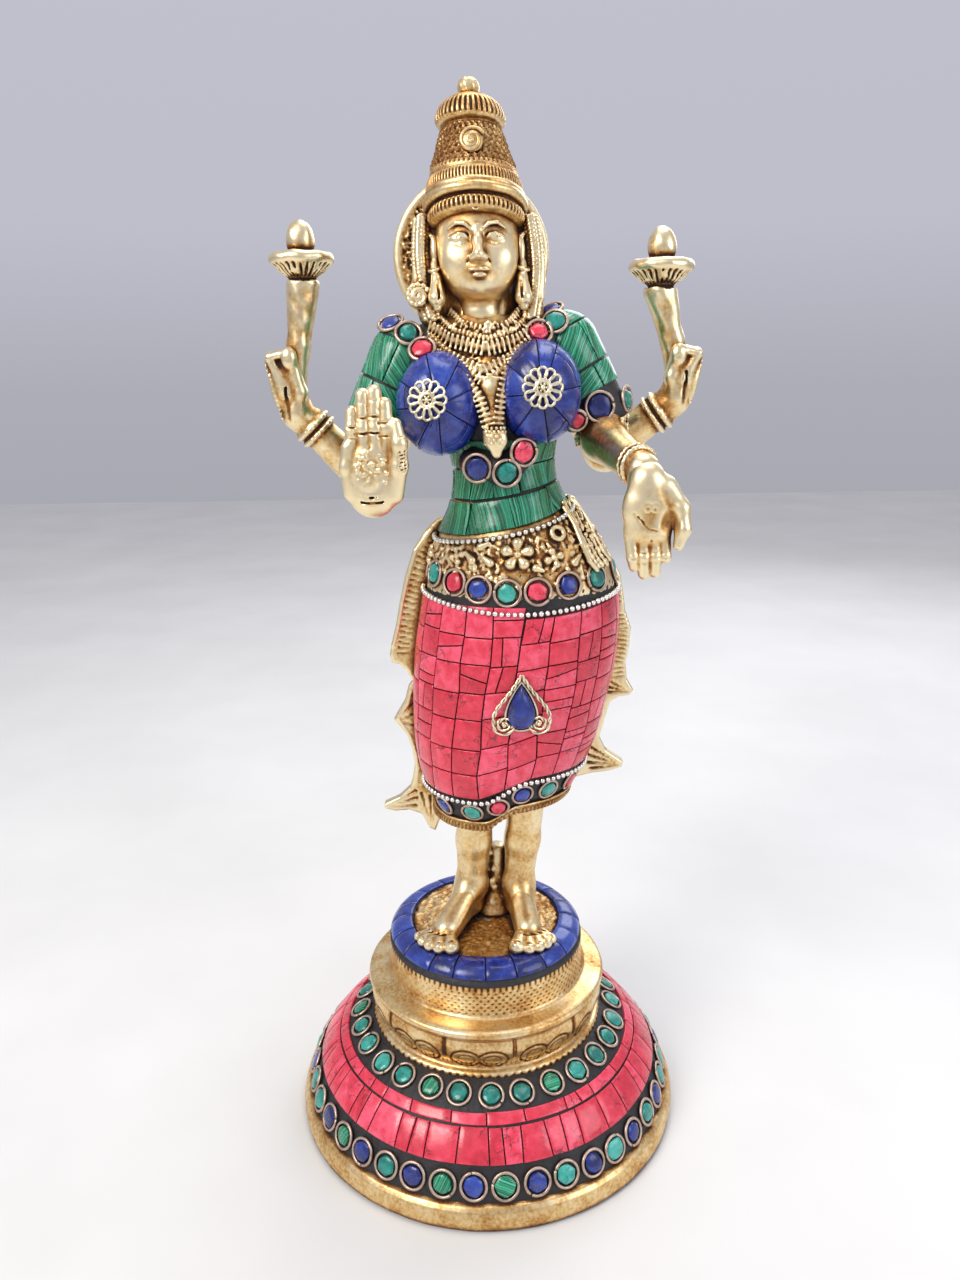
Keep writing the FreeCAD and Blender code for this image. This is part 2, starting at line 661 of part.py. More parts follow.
def rosette(centre, depth, petals=12, radius=5.3):
    """Flower stamped from sheet, facing forward, hollowed behind to sit on the bust."""
    disc = Part.makeCylinder(radius - 0.8, 2.6)
    lobes = [
        Part.makeCylinder(1.2, 2.6, Vector((radius - 1.1) * math.cos(t), (radius - 1.1) * math.sin(t), 0))
        for t in (2 * math.pi * k / petals for k in range(petals))
    ]
    flower = disc.fuse(lobes + [Part.makeSphere(1.4, Vector(0, 0, 2.4))])
    flower.Placement = Placement(centre + Vector(0, depth + 1.4, 0), Rotation(Vector(1, 0, 0), 90))
    for c in BUSTS:
        flower = flower.cut(Part.makeSphere(bust_radius, c))
    return biggest(flower)


def build_arms():
    torso = ("torso_core", "bodice_mastic", "bust_lapis_tiles", "midriff_malachite_tiles")
    tiles = []
    for side in ("right", "left"):
        rows = SLEEVES[side]
        arm = chain(rows + FOREARMS[side])
        keep(f"{side}_front_arm", trimmed(arm, *torso))
        sleeve = capsule(rows[0][:3], rows[1][:3], rows[0][3] + tile_thickness, rows[1][3] + tile_thickness)
        for seat in torso[:3] + (f"{side}_front_arm",):
            for other in shapes[seat].Solids:
                if other.BoundBox.intersect(sleeve.BoundBox):
                    sleeve = biggest(sleeve.cut(other))
        a, b = Vector(*rows[0][:3]), Vector(*rows[1][:3])
        along = Rotation(Vector(0, 0, 1), b - a)
        slabs = []
        for share in (0.12, 0.62):
            slab = Part.makeBox(80, 80, grout, Vector(-40, -40, -grout / 2))
            slab.Placement = Placement(a + (b - a) * share, along)
            slabs.append(slab)
        lengthwise = Part.makeBox(80, grout, 80, Vector(-40, -grout / 2, -40))
        lengthwise.Placement = Placement(a, along)
        slabs.append(lengthwise)
        tiles += [s for s in sleeve.cut(Part.makeCompound(slabs)).Solids if s.Volume > 1.0]
    keep("sleeve_malachite_tiles", tiles)
    for side, sign in (("right", -1), ("left", 1)):
        rows = REAR_ARMS[side]
        arm = trimmed(chain(rows), "torso_core", f"{side}_front_arm", "sleeve_malachite_tiles",
                      "midriff_malachite_tiles")
        x, y, z, r = rows[-1]
        palm = (x + sign * 3.4, y - 1.2, z + 9.6)
        top = (palm[0] + sign * 0.6, palm[1], palm[2] + 6.0)
        hand = [capsule((x, y, z), palm, r, 4.6), capsule(palm, top, 4.6, 3.4)]
        for k in range(4):
            fz = palm[2] + 5.4 - 3.1 * k
            knuckle = (palm[0] + sign * 3.0, palm[1] - 2.6, fz)
            hand.append(capsule(knuckle, (palm[0] - sign * 3.0, palm[1] - 5.4, fz), 1.7, 1.6))
        keep(f"{side}_rear_arm", biggest(arm.fuse(hand)))


def fingers_of(x, y, z, up):
    """Palm and five fingers; up is +1 for a raised hand and -1 for a hanging one."""
    palm = [capsule((x + dx, y, z), (x + dx * 1.25, y, z + up * 10.0), 3.8, 3.3) for dx in (-3.2, 0.0, 3.2)]
    tips = ((-5.2, 20.4, 1.4), (-1.8, 24.6, 1.5), (1.8, 25.0, 1.5), (5.0, 21.6, 1.4))
    return palm + [
        capsule((x + dx * 0.95, y, z + up * 11.0), (x + dx * 1.02, y - 0.4, z + up * reach), 1.9, r)
        for dx, reach, r in tips
    ]


def build_hands():
    """Front hands, palms forward: the right one raised, the left one held down."""
    x, y, z, r = FOREARMS["right"][-1]
    parts = fingers_of(x + 0.4, y - 6.0, z + 3.0, 1) + [
        capsule((x, y, z), (x + 0.4, y - 6.0, z + 3.0), r, 4.4),
        capsule((x + 4.6, y - 7.4, z + 6.0), (x + 7.6, y - 7.8, z + 16.0), 2.3, 1.5),
    ]
    keep("right_front_hand", trimmed(parts[0].fuse(parts[1:]), "right_front_arm"))
    x, y, z, r = FOREARMS["left"][-1]
    parts = fingers_of(x + 1.4, y - 5.0, z - 3.4, -1) + [
        capsule((x, y, z), (x + 1.4, y - 5.0, z - 3.4), r, 4.4),
        capsule((x + 6.0, y - 6.0, z - 6.0), (x + 10.2, y - 6.4, z - 17.4), 2.4, 1.5),
    ]
    keep("left_front_hand", trimmed(parts[0].fuse(parts[1:]), "left_front_arm"))


def build_lotuses():
    """Stem, plate and bud held up by each rear hand."""
    for side, sign, top in (("right", -1, (-51.4, 6.0, 276.6)), ("left", 1, (54.8, 6.0, 273.4))):
        x, y, z, _ = REAR_ARMS[side][-1]
        low = (x - sign * 0.4, y - 4.2, z - 2.0)
        middle = (x - sign * 1.2, y - 3.4, z + 16.0)
        stem = chain([low + (2.4,), middle + (3.0,), top + (4.2,)])
        plate = revolved([
            (0, 0), (4.0, 0), (4.2, 1.6), (6.6, 3.4), (9.2, 5.4), (9.9, 7.0), (9.2, 8.2), (0, 8.8),
        ])
        bud = capsule((0, 0, 11.6), (0, 0, 14.6), 5.0, 3.0)
        for part in (plate, bud):
            part.translate(Vector(top[0], top[1], top[2] - 0.6))
        keep(f"{side}_lotus", trimmed(stem.fuse([plate, bud]), f"{side}_rear_arm"))


def bodice_stones():
    """Stones in wire rings along the neckline, under the bust and round the armbands."""
    bezels, stones = [], {"coral": [], "lapis": [], "green": []}
    seats = ("torso_core", "bodice_mastic", "midriff_malachite_tiles", "bust_lapis_tiles",
             "sleeve_malachite_tiles", "right_front_arm", "left_front_arm")
    spots = [
        ((-13.4, -10.4, 258.4), (-0.3, -0.8, 0.6), "coral"),
        ((-18.8, -7.6, 262.4), (-0.3, -0.6, 0.8), "green"),
        ((-25.0, -3.4, 265.4), (-0.3, -0.5, 0.9), "lapis"),
        ((17.4, -10.4, 260.0), (0.3, -0.8, 0.6), "coral"), ((22.4, -7.4, 264.4), (0.3, -0.5, 0.8), "green"),
        ((28.4, -3.0, 266.4), (0.3, -0.5, 0.9), "lapis"),
        ((-2.0, -13.6, 226.6), (-0.3, -1, 0.0), "lapis"), ((6.4, -14.8, 225.0), (0.0, -1, 0.0), "green"),
        ((15.2, -13.4, 226.6), (0.3, -1, 0.0), "coral"),
        ((36.0, -9.6, 238.0), (0.1, -1, 0.0), "lapis"), ((43.8, -2.0, 239.6), (1, -0.3, 0.1), "green"),
        ((-38.6, -2.0, 231.6), (-1, -0.2, 0.1), "lapis"), ((-31.0, -10.4, 231.0), (-0.1, -1, 0.1), "green"),
    ]
    for at, normal, kind in spots:
        at, normal = Vector(*at), Vector(*normal)
        normal.normalize()
        ring = Part.makeCylinder(3.5, 4.0, at - normal * 2.6, normal)
        stone = Part.makeCylinder(2.3, 4.4, at - normal * 2.6, normal)
        ring = ring.cut(Part.makeCylinder(2.7, 4.0, at - normal * 2.6, normal))
        for name in seats:
            for other in shapes[name].Solids:
                if other.BoundBox.intersect(ring.BoundBox):
                    ring, stone = biggest(ring.cut(other)), biggest(stone.cut(other))
        bezels.append(ring)
        stones[kind].append(stone)
    keep("bodice_bezels", bezels)
    for kind, group in stones.items():
        keep(f"bodice_{kind}_stones", group)


# ---- head -----------------------------------------------------------------------------------------------
def leaned(shape):
    """Leans a head piece back about the head's centre."""
    shape.rotate(head_centre, Vector(1, 0, 0), -head_tilt)
    return shape


def build_head():
    c = head_centre
    parts = [
        Part.makeSphere(12.0, Vector(c.x, c.y, c.z + 2.4)),
        capsule((c.x, c.y - 4.4, c.z - 1.0), (c.x, c.y - 7.0, c.z - 8.6), 9.4, 5.2),
        capsule((c.x, c.y - 12.0, c.z + 2.0), (c.x, c.y - 14.0, c.z - 3.0), 0.9, 1.6),
    ]
    face = leaned(parts[0].fuse(parts[1:]))
    neck = capsule((1.2, 0.4, 264.0), (0.8, -1.4, 277.0), 6.6, 6.2)
    keep("head", trimmed(face.fuse(neck), "torso_core"))
    crown = revolved([
        (0, 9.0), (13.4, 9.0), (14.6, 10.4), (14.6, 13.6), (13.6, 14.6), (13.9, 18.2), (12.8, 19.2),
        ("arc", (11.6, 25.0), (9.0, 30.6)), (9.5, 32.0), (9.3, 34.4), (8.0, 38.0), (5.6, 40.6), (2.2, 42.0),
        (0, 42.0),
    ])
    crown = crown.fuse(Part.makeSphere(finial_radius, Vector(0, 0, 41.4 + finial_radius)))
    crown.translate(Vector(c.x - 1.0, c.y + 1.2, c.z - 1.2))
    keep("crown", trimmed(leaned(crown), "head"))
    hair = Part.makeSphere(14.0, Vector(c.x, c.y + 3.6, c.z - 0.6))
    hair = hair.cut(Part.makeBox(60, 60, 60, Vector(c.x - 30, c.y - 63.0, c.z - 30)))
    locks = [capsule((s * 12.2 + c.x, 2.0, 282), (s * 15.0 + c.x, -0.6, 268), 3.0, 3.8) for s in (-1, 1)]
    arms = ("right_front_arm", "left_front_arm", "sleeve_malachite_tiles", "right_rear_arm", "left_rear_arm")
    keep("hair", trimmed(hair.fuse(locks), "head", "crown", "torso_core", *arms))
    ears = []
    for s in (-1, 1):
        lobe = (c.x + s * 11.6, c.y - 1.4, c.z - 4.0)
        ear = capsule((c.x + s * 11.8, c.y - 1.0, c.z + 1.6), lobe, 2.2, 1.9)
        drop = capsule(lobe, (c.x + s * 12.0, c.y - 4.0, c.z - 13.4), 1.4, 2.6)
        ears.append(trimmed(ear.fuse(drop), "head", "crown", "hair", "torso_core"))
    keep("ears_and_earrings", ears)
    disc = Part.makeCylinder(halo_radius, halo_thickness, Vector(-1.2, 9.4, 283.6), Vector(0, 1, 0))
    keep("halo_disc", trimmed(disc, "head", "crown", "hair", "ears_and_earrings", "torso_core", *arms))


def build_necklace():
    """Three strands that hang round the neck and lie on the chest, and the pendant between the busts."""
    def strand(front, back):
        low = lambda a: (front + back) / 2 + (back - front) / 2 * math.sin(math.radians(a))
        return trunk_shell([low, lambda a: low(a) + strand_width], -1.0, strand_thickness)

    strands = [strand(front, back) for front, back in ((192.0, 196.0), (187.5, 194.5), (182.5, 192.5))]
    pendant = chain([(2.6, -15.6, 253.0, 2.4), (3.0, -18.6, 244.0, 2.0), (3.0, -15.0, 233.0, 2.6)])
    whole = strands[0].fuse(strands[1:] + [pendant])
    for name in ("torso_core", "bodice_mastic", "bust_lapis_tiles", "head", "hair", "ears_and_earrings",
                 "midriff_malachite_tiles", "sleeve_malachite_tiles", "right_front_arm", "left_front_arm",
                 "halo_disc", "bodice_bezels", "bodice_coral_stones", "bodice_lapis_stones",
                 "bodice_green_stones", "right_rear_arm", "left_rear_arm"):
        for other in shapes[name].Solids:
            if other.BoundBox.intersect(whole.BoundBox):
                whole = whole.cut(other)
    keep("necklace", [s for s in whole.Solids if s.Volume > 4.0])


def main():
    build_base()
    build_pedestal()
    build_fixing()
    below = set(shapes)
    build_legs()
    build_skirt()
    build_teardrop()
    build_drapery()
    build_torso()
    build_arms()
    build_hands()
    build_lotuses()
    bodice_stones()
    build_head()
    build_necklace()
    for name in set(shapes) - below:
        shapes[name].translate(Vector(0, 0, floor_height - figure_floor))
    os.makedirs("parts", exist_ok=True)
    for name, shape in shapes.items():
        shape.exportStep(f"parts/{name}.step")


main()
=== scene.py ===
import math
import random

import bpy
import numpy as np
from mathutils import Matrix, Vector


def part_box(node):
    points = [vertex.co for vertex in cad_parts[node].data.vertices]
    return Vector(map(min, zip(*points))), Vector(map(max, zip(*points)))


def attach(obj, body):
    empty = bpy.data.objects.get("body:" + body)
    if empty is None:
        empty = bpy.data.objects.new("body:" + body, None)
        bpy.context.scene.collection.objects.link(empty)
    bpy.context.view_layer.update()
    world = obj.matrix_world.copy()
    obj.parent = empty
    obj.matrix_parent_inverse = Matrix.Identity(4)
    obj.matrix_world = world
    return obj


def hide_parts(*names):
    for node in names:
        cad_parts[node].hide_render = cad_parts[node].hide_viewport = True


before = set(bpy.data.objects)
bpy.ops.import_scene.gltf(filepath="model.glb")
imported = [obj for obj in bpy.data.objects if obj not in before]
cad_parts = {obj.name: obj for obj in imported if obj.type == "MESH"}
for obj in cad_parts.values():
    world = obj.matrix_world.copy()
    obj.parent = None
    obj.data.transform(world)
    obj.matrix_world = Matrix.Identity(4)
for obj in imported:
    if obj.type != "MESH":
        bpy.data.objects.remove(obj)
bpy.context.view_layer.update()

import openvdb
from mathutils import Matrix, Vector

MM = 0.001
chance = random.Random(11)

# Heights (mm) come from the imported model's boxes, so that every piece sits where the CAD says.
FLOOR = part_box("standing_plate")[1][2] / MM  # top of the plate that the feet stand on
DOME_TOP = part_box("base_casting")[1][2] / MM
CROWN_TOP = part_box("crown")[1][2] / MM
TAU = 2 * math.pi
FULL_TURN, FRONT = 360.0, -90.0  # degrees; the figure faces -Y
PEDESTAL_STEPS, CROWN_STEPS, CUFF_STEPS = ((600, 504, 420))


# --- Materials ---
def node(tree, kind, inputs=None, **settings):
    n = tree.nodes.new(kind)
    for key, value in settings.items():
        setattr(n, key, value)
    for key, value in (inputs or {}).items():
        n.inputs[key].default_value = value
    return n


def new_material(name):
    m = bpy.data.materials.new(name)
    m.use_nodes = True
    tree = m.node_tree
    tree.nodes.clear()
    out = node(tree, "ShaderNodeOutputMaterial")
    shader = node(tree, "ShaderNodeBsdfPrincipled")
    tree.links.new(shader.outputs["BSDF"], out.inputs["Surface"])
    return m, tree, shader, node(tree, "ShaderNodeTexCoord").outputs["Object"]


def ramp(tree, stops, source):
    """Colours along a value; a stop is (place, colour) or (place, grey level)."""
    r = node(tree, "ShaderNodeValToRGB")
    elements = r.color_ramp.elements
    while len(elements) < len(stops):
        elements.new(0.5)
    for e, (place, colour) in zip(elements, stops):
        e.position = place
        e.color = (*colour, 1.0) if isinstance(colour, tuple) else (*(colour,) * 3, 1.0)
    tree.links.new(source, r.inputs["Fac"])
    return r.outputs["Color"]


def maths(tree, operation, a, b, clamp=False):
    n = node(tree, "ShaderNodeMath", operation=operation, use_clamp=clamp)
    for k, v in enumerate((a, b)):
        if isinstance(v, (int, float)):
            n.inputs[k].default_value = v
        else:
            tree.links.new(v, n.inputs[k])
    return n.outputs[0]


def plus(tree, a, b, clamp=False):
    return maths(tree, "ADD", a, b, clamp)


def minus(tree, a, b):
    return maths(tree, "SUBTRACT", a, b)


def times(tree, a, b):
    return maths(tree, "MULTIPLY", a, b)


def ao(tree, reach, samples):
    """Ambient occlusion: 1 in the open, less in recesses narrower than reach (metres)."""
    return node(tree, "ShaderNodeAmbientOcclusion", {"Distance": reach}, samples=samples).outputs["AO"]


def noise(tree, place, scale, detail=4.0, rough=0.55, distortion=0.0):
    n = node(tree, "ShaderNodeTexNoise",
             {"Scale": scale, "Detail": detail, "Roughness": rough, "Distortion": distortion})
    tree.links.new(place, n.inputs["Vector"])
    return n.outputs["Fac"]


def mixed(tree, factor, a, plain):
    """Socket a, mixed with a plain colour."""
    n = node(tree, "ShaderNodeMix", data_type="RGBA")
    tree.links.new(factor, n.inputs["Factor"])
    tree.links.new(a, n.inputs[6])
    n.inputs[7].default_value = (*plain, 1.0)
    return n.outputs[2]


def bump(tree, shader, height, strength, distance):
    b = node(tree, "ShaderNodeBump", {"Strength": strength, "Distance": distance})
    tree.links.new(height, b.inputs["Height"])
    tree.links.new(b.outputs["Normal"], shader.inputs["Normal"])


def brass(name, bright=1.0, darkening=0.0, rough=0.30, pitted=0.3, reach=0.0026):
    """Aged brass: dark brown in the recesses, from patina and painted shade, orange on the slopes, pale gold
    where it is rubbed.
    """
    m, tree, shader, place = new_material(name)
    painted_occlusion_shade = ao(tree, reach, 6)
    cavity = node(tree, "ShaderNodeAttribute", attribute_name="cav").outputs["Fac"]
    blotch = noise(tree, place, 95.0, 4.0, 0.6)
    fine = noise(tree, place, 900.0, 3.0, 0.6)
    # Painted shade: occlusion within reach and the sunken parts of the cav attribute darken the colour towards
    # brown-black, on top of the real patina in the hollows.
    rub_and_painted_shade = times(tree, minus(tree, painted_occlusion_shade, 0.86), 1.5)
    rub_and_painted_shade = plus(tree, rub_and_painted_shade, times(tree, cavity, 1.25))
    for source, share in ((blotch, 0.95), (fine, 0.35 + pitted)):
        rub_and_painted_shade = plus(tree, rub_and_painted_shade, times(tree, minus(tree, source, 0.5), share))
    rub_and_painted_shade = plus(tree, rub_and_painted_shade, 0.56 - darkening, clamp=True)
    colour = ramp(tree, [
        (0.0, (0.030, 0.011, 0.004)), (0.22, (0.105, 0.036, 0.010)), (0.42, (0.36, 0.140, 0.032)),
        (0.58, (0.55 * bright, 0.30 * bright, 0.095 * bright)),
        (0.76, (0.78 * bright, 0.55 * bright, 0.250 * bright)),
        (1.0, (0.90 * bright, 0.76 * bright, 0.480 * bright)),
    ], rub_and_painted_shade)
    tree.links.new(colour, shader.inputs["Base Color"])
    metal = ramp(tree, [(0.0, 0.15), (0.30, 0.75), (0.5, 1.0)], rub_and_painted_shade)
    tree.links.new(metal, shader.inputs["Metallic"])
    gloss = ramp(tree, [(0.0, 0.85), (0.35, rough + 0.22), (0.75, rough)], rub_and_painted_shade)
    roughness = plus(tree, gloss, times(tree, minus(tree, fine, 0.5), 0.16))
    tree.links.new(roughness, shader.inputs["Roughness"])
    stretch = node(tree, "ShaderNodeMapping", {"Scale": (1.0, 1.0, 0.22)})
    tree.links.new(place, stretch.inputs["Vector"])
    scratch = noise(tree, stretch.outputs["Vector"], 1500.0, 2.0, 0.6)
    relief = plus(tree, times(tree, scratch, 0.4), times(tree, fine, pitted + 0.2))
    bump(tree, shader, relief, 0.35, 0.00018)
    return m


def stone_material(name, base, dark, light, vein, gloss=0.22, kind="cracked"):
    """Opaque stone: each piece has its own tint, with mottling, veins or bands, and painted shade where it is
    enclosed.
    """
    m, tree, shader, place = new_material(name)
    tint = node(tree, "ShaderNodeAttribute", attribute_name="tint").outputs["Fac"]
    shift = node(tree, "ShaderNodeVectorMath", operation="ADD")
    tree.links.new(place, shift.inputs[0])
    push = node(tree, "ShaderNodeVectorMath", operation="SCALE")
    push.inputs[0].default_value = (0.37, 0.71, 0.23)
    tree.links.new(tint, push.inputs["Scale"])
    tree.links.new(push.outputs[0], shift.inputs[1])
    own = shift.outputs[0]
    if kind == "banded":
        axis = node(tree, "ShaderNodeAttribute", attribute_name="band").outputs["Fac"]
        warp = noise(tree, own, 160.0, 3.0, 0.55)
        value = plus(tree, axis, times(tree, warp, 1.6))
        stripe = node(tree, "ShaderNodeTexNoise", {"Scale": 1.15, "Detail": 2.5, "Roughness": 0.62},
                      noise_dimensions="1D")
        tree.links.new(plus(tree, value, times(tree, tint, 61.0)), stripe.inputs["W"])
        level = plus(tree, stripe.outputs["Fac"], times(tree, minus(tree, tint, 0.5), 0.10))
        colour = ramp(tree, [(0.34, dark), (0.44, base), (0.49, light), (0.53, base), (0.58, dark),
                             (0.61, base), (0.66, light)], level)
        ragged = stripe.outputs["Fac"]
    else:
        mottle = noise(tree, own, 260.0, 5.0, 0.62, 0.4)
        level = plus(tree, mottle, times(tree, minus(tree, tint, 0.5), 0.34))
        colour = ramp(tree, [(0.28, dark), (0.50, base), (0.74, light)], level)
        cells = node(tree, "ShaderNodeTexVoronoi", {"Scale": 210.0}, feature="DISTANCE_TO_EDGE")
        bent = node(tree, "ShaderNodeVectorMath", operation="ADD")
        wobble = node(tree, "ShaderNodeTexNoise", {"Scale": 320.0, "Detail": 3.0})
        tree.links.new(own, wobble.inputs["Vector"])
        small = node(tree, "ShaderNodeVectorMath", operation="SCALE")
        small.inputs["Scale"].default_value = 0.006
        tree.links.new(wobble.outputs["Color"], small.inputs[0])
        tree.links.new(own, bent.inputs[0])
        tree.links.new(small.outputs[0], bent.inputs[1])
        tree.links.new(bent.outputs[0], cells.inputs["Vector"])
        crack = ramp(tree, [(0.0, 1), (0.018, 0.7), (0.045, 0)], cells.outputs["Distance"])
        gate = ramp(tree, [(0.50, 0), (0.60, 1)], noise(tree, own, 120.0, 2.0))
        amount = times(tree, crack, gate)
        speck = ramp(tree, [(0.66, 0), (0.72, 1)], noise(tree, own, 1400.0, 2.0, 0.5))
        amount = maths(tree, "MAXIMUM", times(tree, amount, 0.85), times(tree, speck, 0.55))
        colour = mixed(tree, amount, colour, vein)
        ragged = mottle
    # Painted shade: the colour goes nearly black where occlusion within 0.9 mm is strong, at joints with
    # bezels, mastic and neighbouring pieces.
    edge = ao(tree, 0.0009, 4)
    darkening = ramp(tree, [(0.35, 1), (0.80, 0)], edge)
    colour = mixed(tree, times(tree, darkening, 0.75), colour, (0.012, 0.010, 0.010))
    tree.links.new(colour, shader.inputs["Base Color"])
    smear = noise(tree, place, 190.0, 4.0, 0.6)
    tree.links.new(plus(tree, times(tree, smear, 0.34), gloss - 0.12), shader.inputs["Roughness"])
    shader.inputs["Specular IOR Level"].default_value = 0.55
    shader.inputs["Coat Weight"].default_value = 0.25
    shader.inputs["Coat Roughness"].default_value = 0.16
    fine = noise(tree, place, 1100.0, 3.0, 0.6)
    bump(tree, shader, plus(tree, fine, times(tree, ragged, 0.8)), 0.25, 0.00012)
    return m


def mastic_material():
    m, tree, shader, place = new_material("mastic")
    grain = noise(tree, place, 700.0, 5.0, 0.65)
    dust = noise(tree, place, 160.0, 4.0, 0.6)
    colour = ramp(tree, [(0.35, (0.006, 0.006, 0.007)), (0.62, (0.022, 0.020, 0.022)),
                         (0.80, (0.085, 0.070, 0.060))],
                  plus(tree, times(tree, grain, 0.55), times(tree, dust, 0.45)))
    tree.links.new(colour, shader.inputs["Base Color"])
    tree.links.new(plus(tree, times(tree, dust, 0.4), 0.32), shader.inputs["Roughness"])
    bump(tree, shader, grain, 0.6, 0.0004)
    return m


def wire_material(name, low, high, rough=0.3):
    m, tree, shader, place = new_material(name)
    blotch = noise(tree, place, 420.0, 4.0, 0.6)
    # Painted shade: occlusion within 1 mm darkens the colour where wires and beads crowd each other or touch
    # the body.
    painted_occlusion_shade = ao(tree, 0.0010, 4)
    level = plus(tree, times(tree, blotch, 0.7), times(tree, painted_occlusion_shade, 0.5))
    colour = ramp(tree, [(0.35, tuple(v * 0.25 for v in low)), (0.60, low), (0.85, high)], level)
    tree.links.new(colour, shader.inputs["Base Color"])
    shader.inputs["Metallic"].default_value = 1.0
    tree.links.new(plus(tree, times(tree, blotch, 0.35), rough - 0.12), shader.inputs["Roughness"])
    bump(tree, shader, noise(tree, place, 1800.0, 2.0), 0.3, 0.0001)
    return m


def floor_material():
    m, tree, shader, place = new_material("floor_paint")
    cloud = noise(tree, place, 9.0, 3.0)
    colour = ramp(tree, [(0.3, (0.66, 0.66, 0.64)), (0.7, (0.72, 0.72, 0.70))], cloud)
    tree.links.new(colour, shader.inputs["Base Color"])
    shader.inputs["Roughness"].default_value = 0.6
    return m


BRASS = brass("aged_brass", darkening=0.05, rough=0.33)
FACE_BRASS = brass("rubbed_brass", bright=1.02, darkening=-0.14, rough=0.36, pitted=0.05)
ROUGH_BRASS = brass("rough_brass", bright=0.88, darkening=0.12, rough=0.42, pitted=0.75)
RELIEF_BRASS = brass("relief_brass", bright=1.0, darkening=0.0, rough=0.36, pitted=0.35, reach=0.0012)
SPECKLED_BRASS = brass("speckled_brass", bright=0.95, darkening=0.20, rough=0.44, pitted=1.3)
SILVER = wire_material("silvered_bead", (0.62, 0.58, 0.52), (0.92, 0.90, 0.85), 0.25)
BEZEL = wire_material("bezel_wire", (0.26, 0.165, 0.12), (0.60, 0.46, 0.37), 0.36)
GILT = wire_material("gilt_wire", (0.60, 0.47, 0.27), (0.92, 0.84, 0.62), 0.28)
STEEL = wire_material("zinc_steel", (0.36, 0.36, 0.37), (0.62, 0.63, 0.64), 0.36)
CORAL = stone_material("coral", (0.70, 0.034, 0.070), (0.54, 0.018, 0.042), (0.84, 0.095, 0.165),
                       (0.055, 0.010, 0.014))
LAPIS = stone_material("lapis", (0.009, 0.026, 0.235), (0.004, 0.010, 0.095), (0.030, 0.075, 0.400),
                       (0.07, 0.07, 0.13), 0.20)
TURQUOISE = stone_material("turquoise", (0.010, 0.270, 0.215), (0.004, 0.130, 0.110), (0.060, 0.430, 0.360),
                           (0.010, 0.050, 0.045))
GREEN = stone_material("malachite", (0.003, 0.165, 0.078), (0.001, 0.052, 0.026), (0.070, 0.500, 0.290),
                       (0.01, 0.03, 0.02), 0.22, "banded")
MASTIC = mastic_material()


# --- Meshes ---
def build(name, points, faces, material, nodes, attributes=None, sharp=None):
    """A piece from points in millimetres and faces, which are index arrays of three or four columns."""
    mesh = bpy.data.meshes.new(name)
    points = np.asarray(points, dtype=np.float32) * MM
    loops, counts = [], []
    for group in faces:
        group = np.asarray(group, dtype=np.int32)
        if len(group):
            loops.append(group.ravel())
            counts.append(np.full(len(group), group.shape[1], dtype=np.int32))
    loops, counts = np.concatenate(loops), np.concatenate(counts)
    starts = np.concatenate(([0], np.cumsum(counts)[:-1])).astype(np.int32)
    mesh.vertices.add(len(points))
    mesh.vertices.foreach_set("co", points.ravel())
    mesh.loops.add(len(loops))
    mesh.loops.foreach_set("vertex_index", loops)
    mesh.polygons.add(len(counts))
    mesh.polygons.foreach_set("loop_start", starts)
    mesh.polygons.foreach_set("use_smooth", np.ones(len(counts), dtype=bool))
    mesh.update(calc_edges=True)
    for key, values in (attributes or {}).items():
        mesh.attributes.new(key, "FLOAT",
                            "POINT").data.foreach_set("value", np.asarray(values, dtype=np.float32))
    if sharp:
        mesh.set_sharp_from_angle(angle=math.radians(sharp))
    mesh.materials.append(material)
    piece = bpy.data.objects.new(name, mesh)
    bpy.context.scene.collection.objects.link(piece)
    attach(piece, "root")
    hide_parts(*nodes)
    return piece


class Heap:
    """Many small shapes gathered into one mesh."""

    def __init__(self):
        self.points, self.quads, self.tris, self.tint, self.band, self.total = [], [], [], [], [], 0

    def add(self, points, quads=(), tris=(), tint=0.5, band=None):
        points = np.asarray(points, dtype=np.float64).reshape(-1, 3)
        if len(quads):
            self.quads.append(np.asarray(quads, dtype=np.int64) + self.total)
        if len(tris):
            self.tris.append(np.asarray(tris, dtype=np.int64) + self.total)
        self.points.append(points)
        self.tint.append(np.full(len(points), tint))
        self.band.append(np.zeros(len(points)) if band is None else np.asarray(band))
        self.total += len(points)

    def piece(self, name, material, slot, nodes, sharp=None):
        faces = []
        if self.quads:
            faces.append(np.concatenate(self.quads))
        if self.tris:
            faces.append(np.concatenate(self.tris))
        attributes = {"tint": np.concatenate(self.tint), "band": np.concatenate(self.band)}
        return build(name, np.concatenate(self.points), faces, material, nodes, attributes, sharp)


def unit(v):
    v = np.asarray(v, dtype=np.float64)
    return v / max(np.linalg.norm(v), 1e-12)


def frame_of(normal, hint=(0, 0, 1)):
    normal = unit(normal)
    side = np.cross(hint, normal)
    if np.linalg.norm(side) < 1e-3:
        side = np.cross((0, 1, 0), normal)
    side = unit(side)
    return side, np.cross(normal, side), normal


def rings_to_faces(count, rows, closed=False):
    """Quads between successive rings of count points each."""
    a = np.arange(count)
    b = (a + 1) % count
    quads = []
    for r in range(rows if closed else rows - 1):
        n = (r + 1) % rows
        quads.append(np.stack([r * count + a, r * count + b, n * count + b, n * count + a], axis=1))
    return np.concatenate(quads)


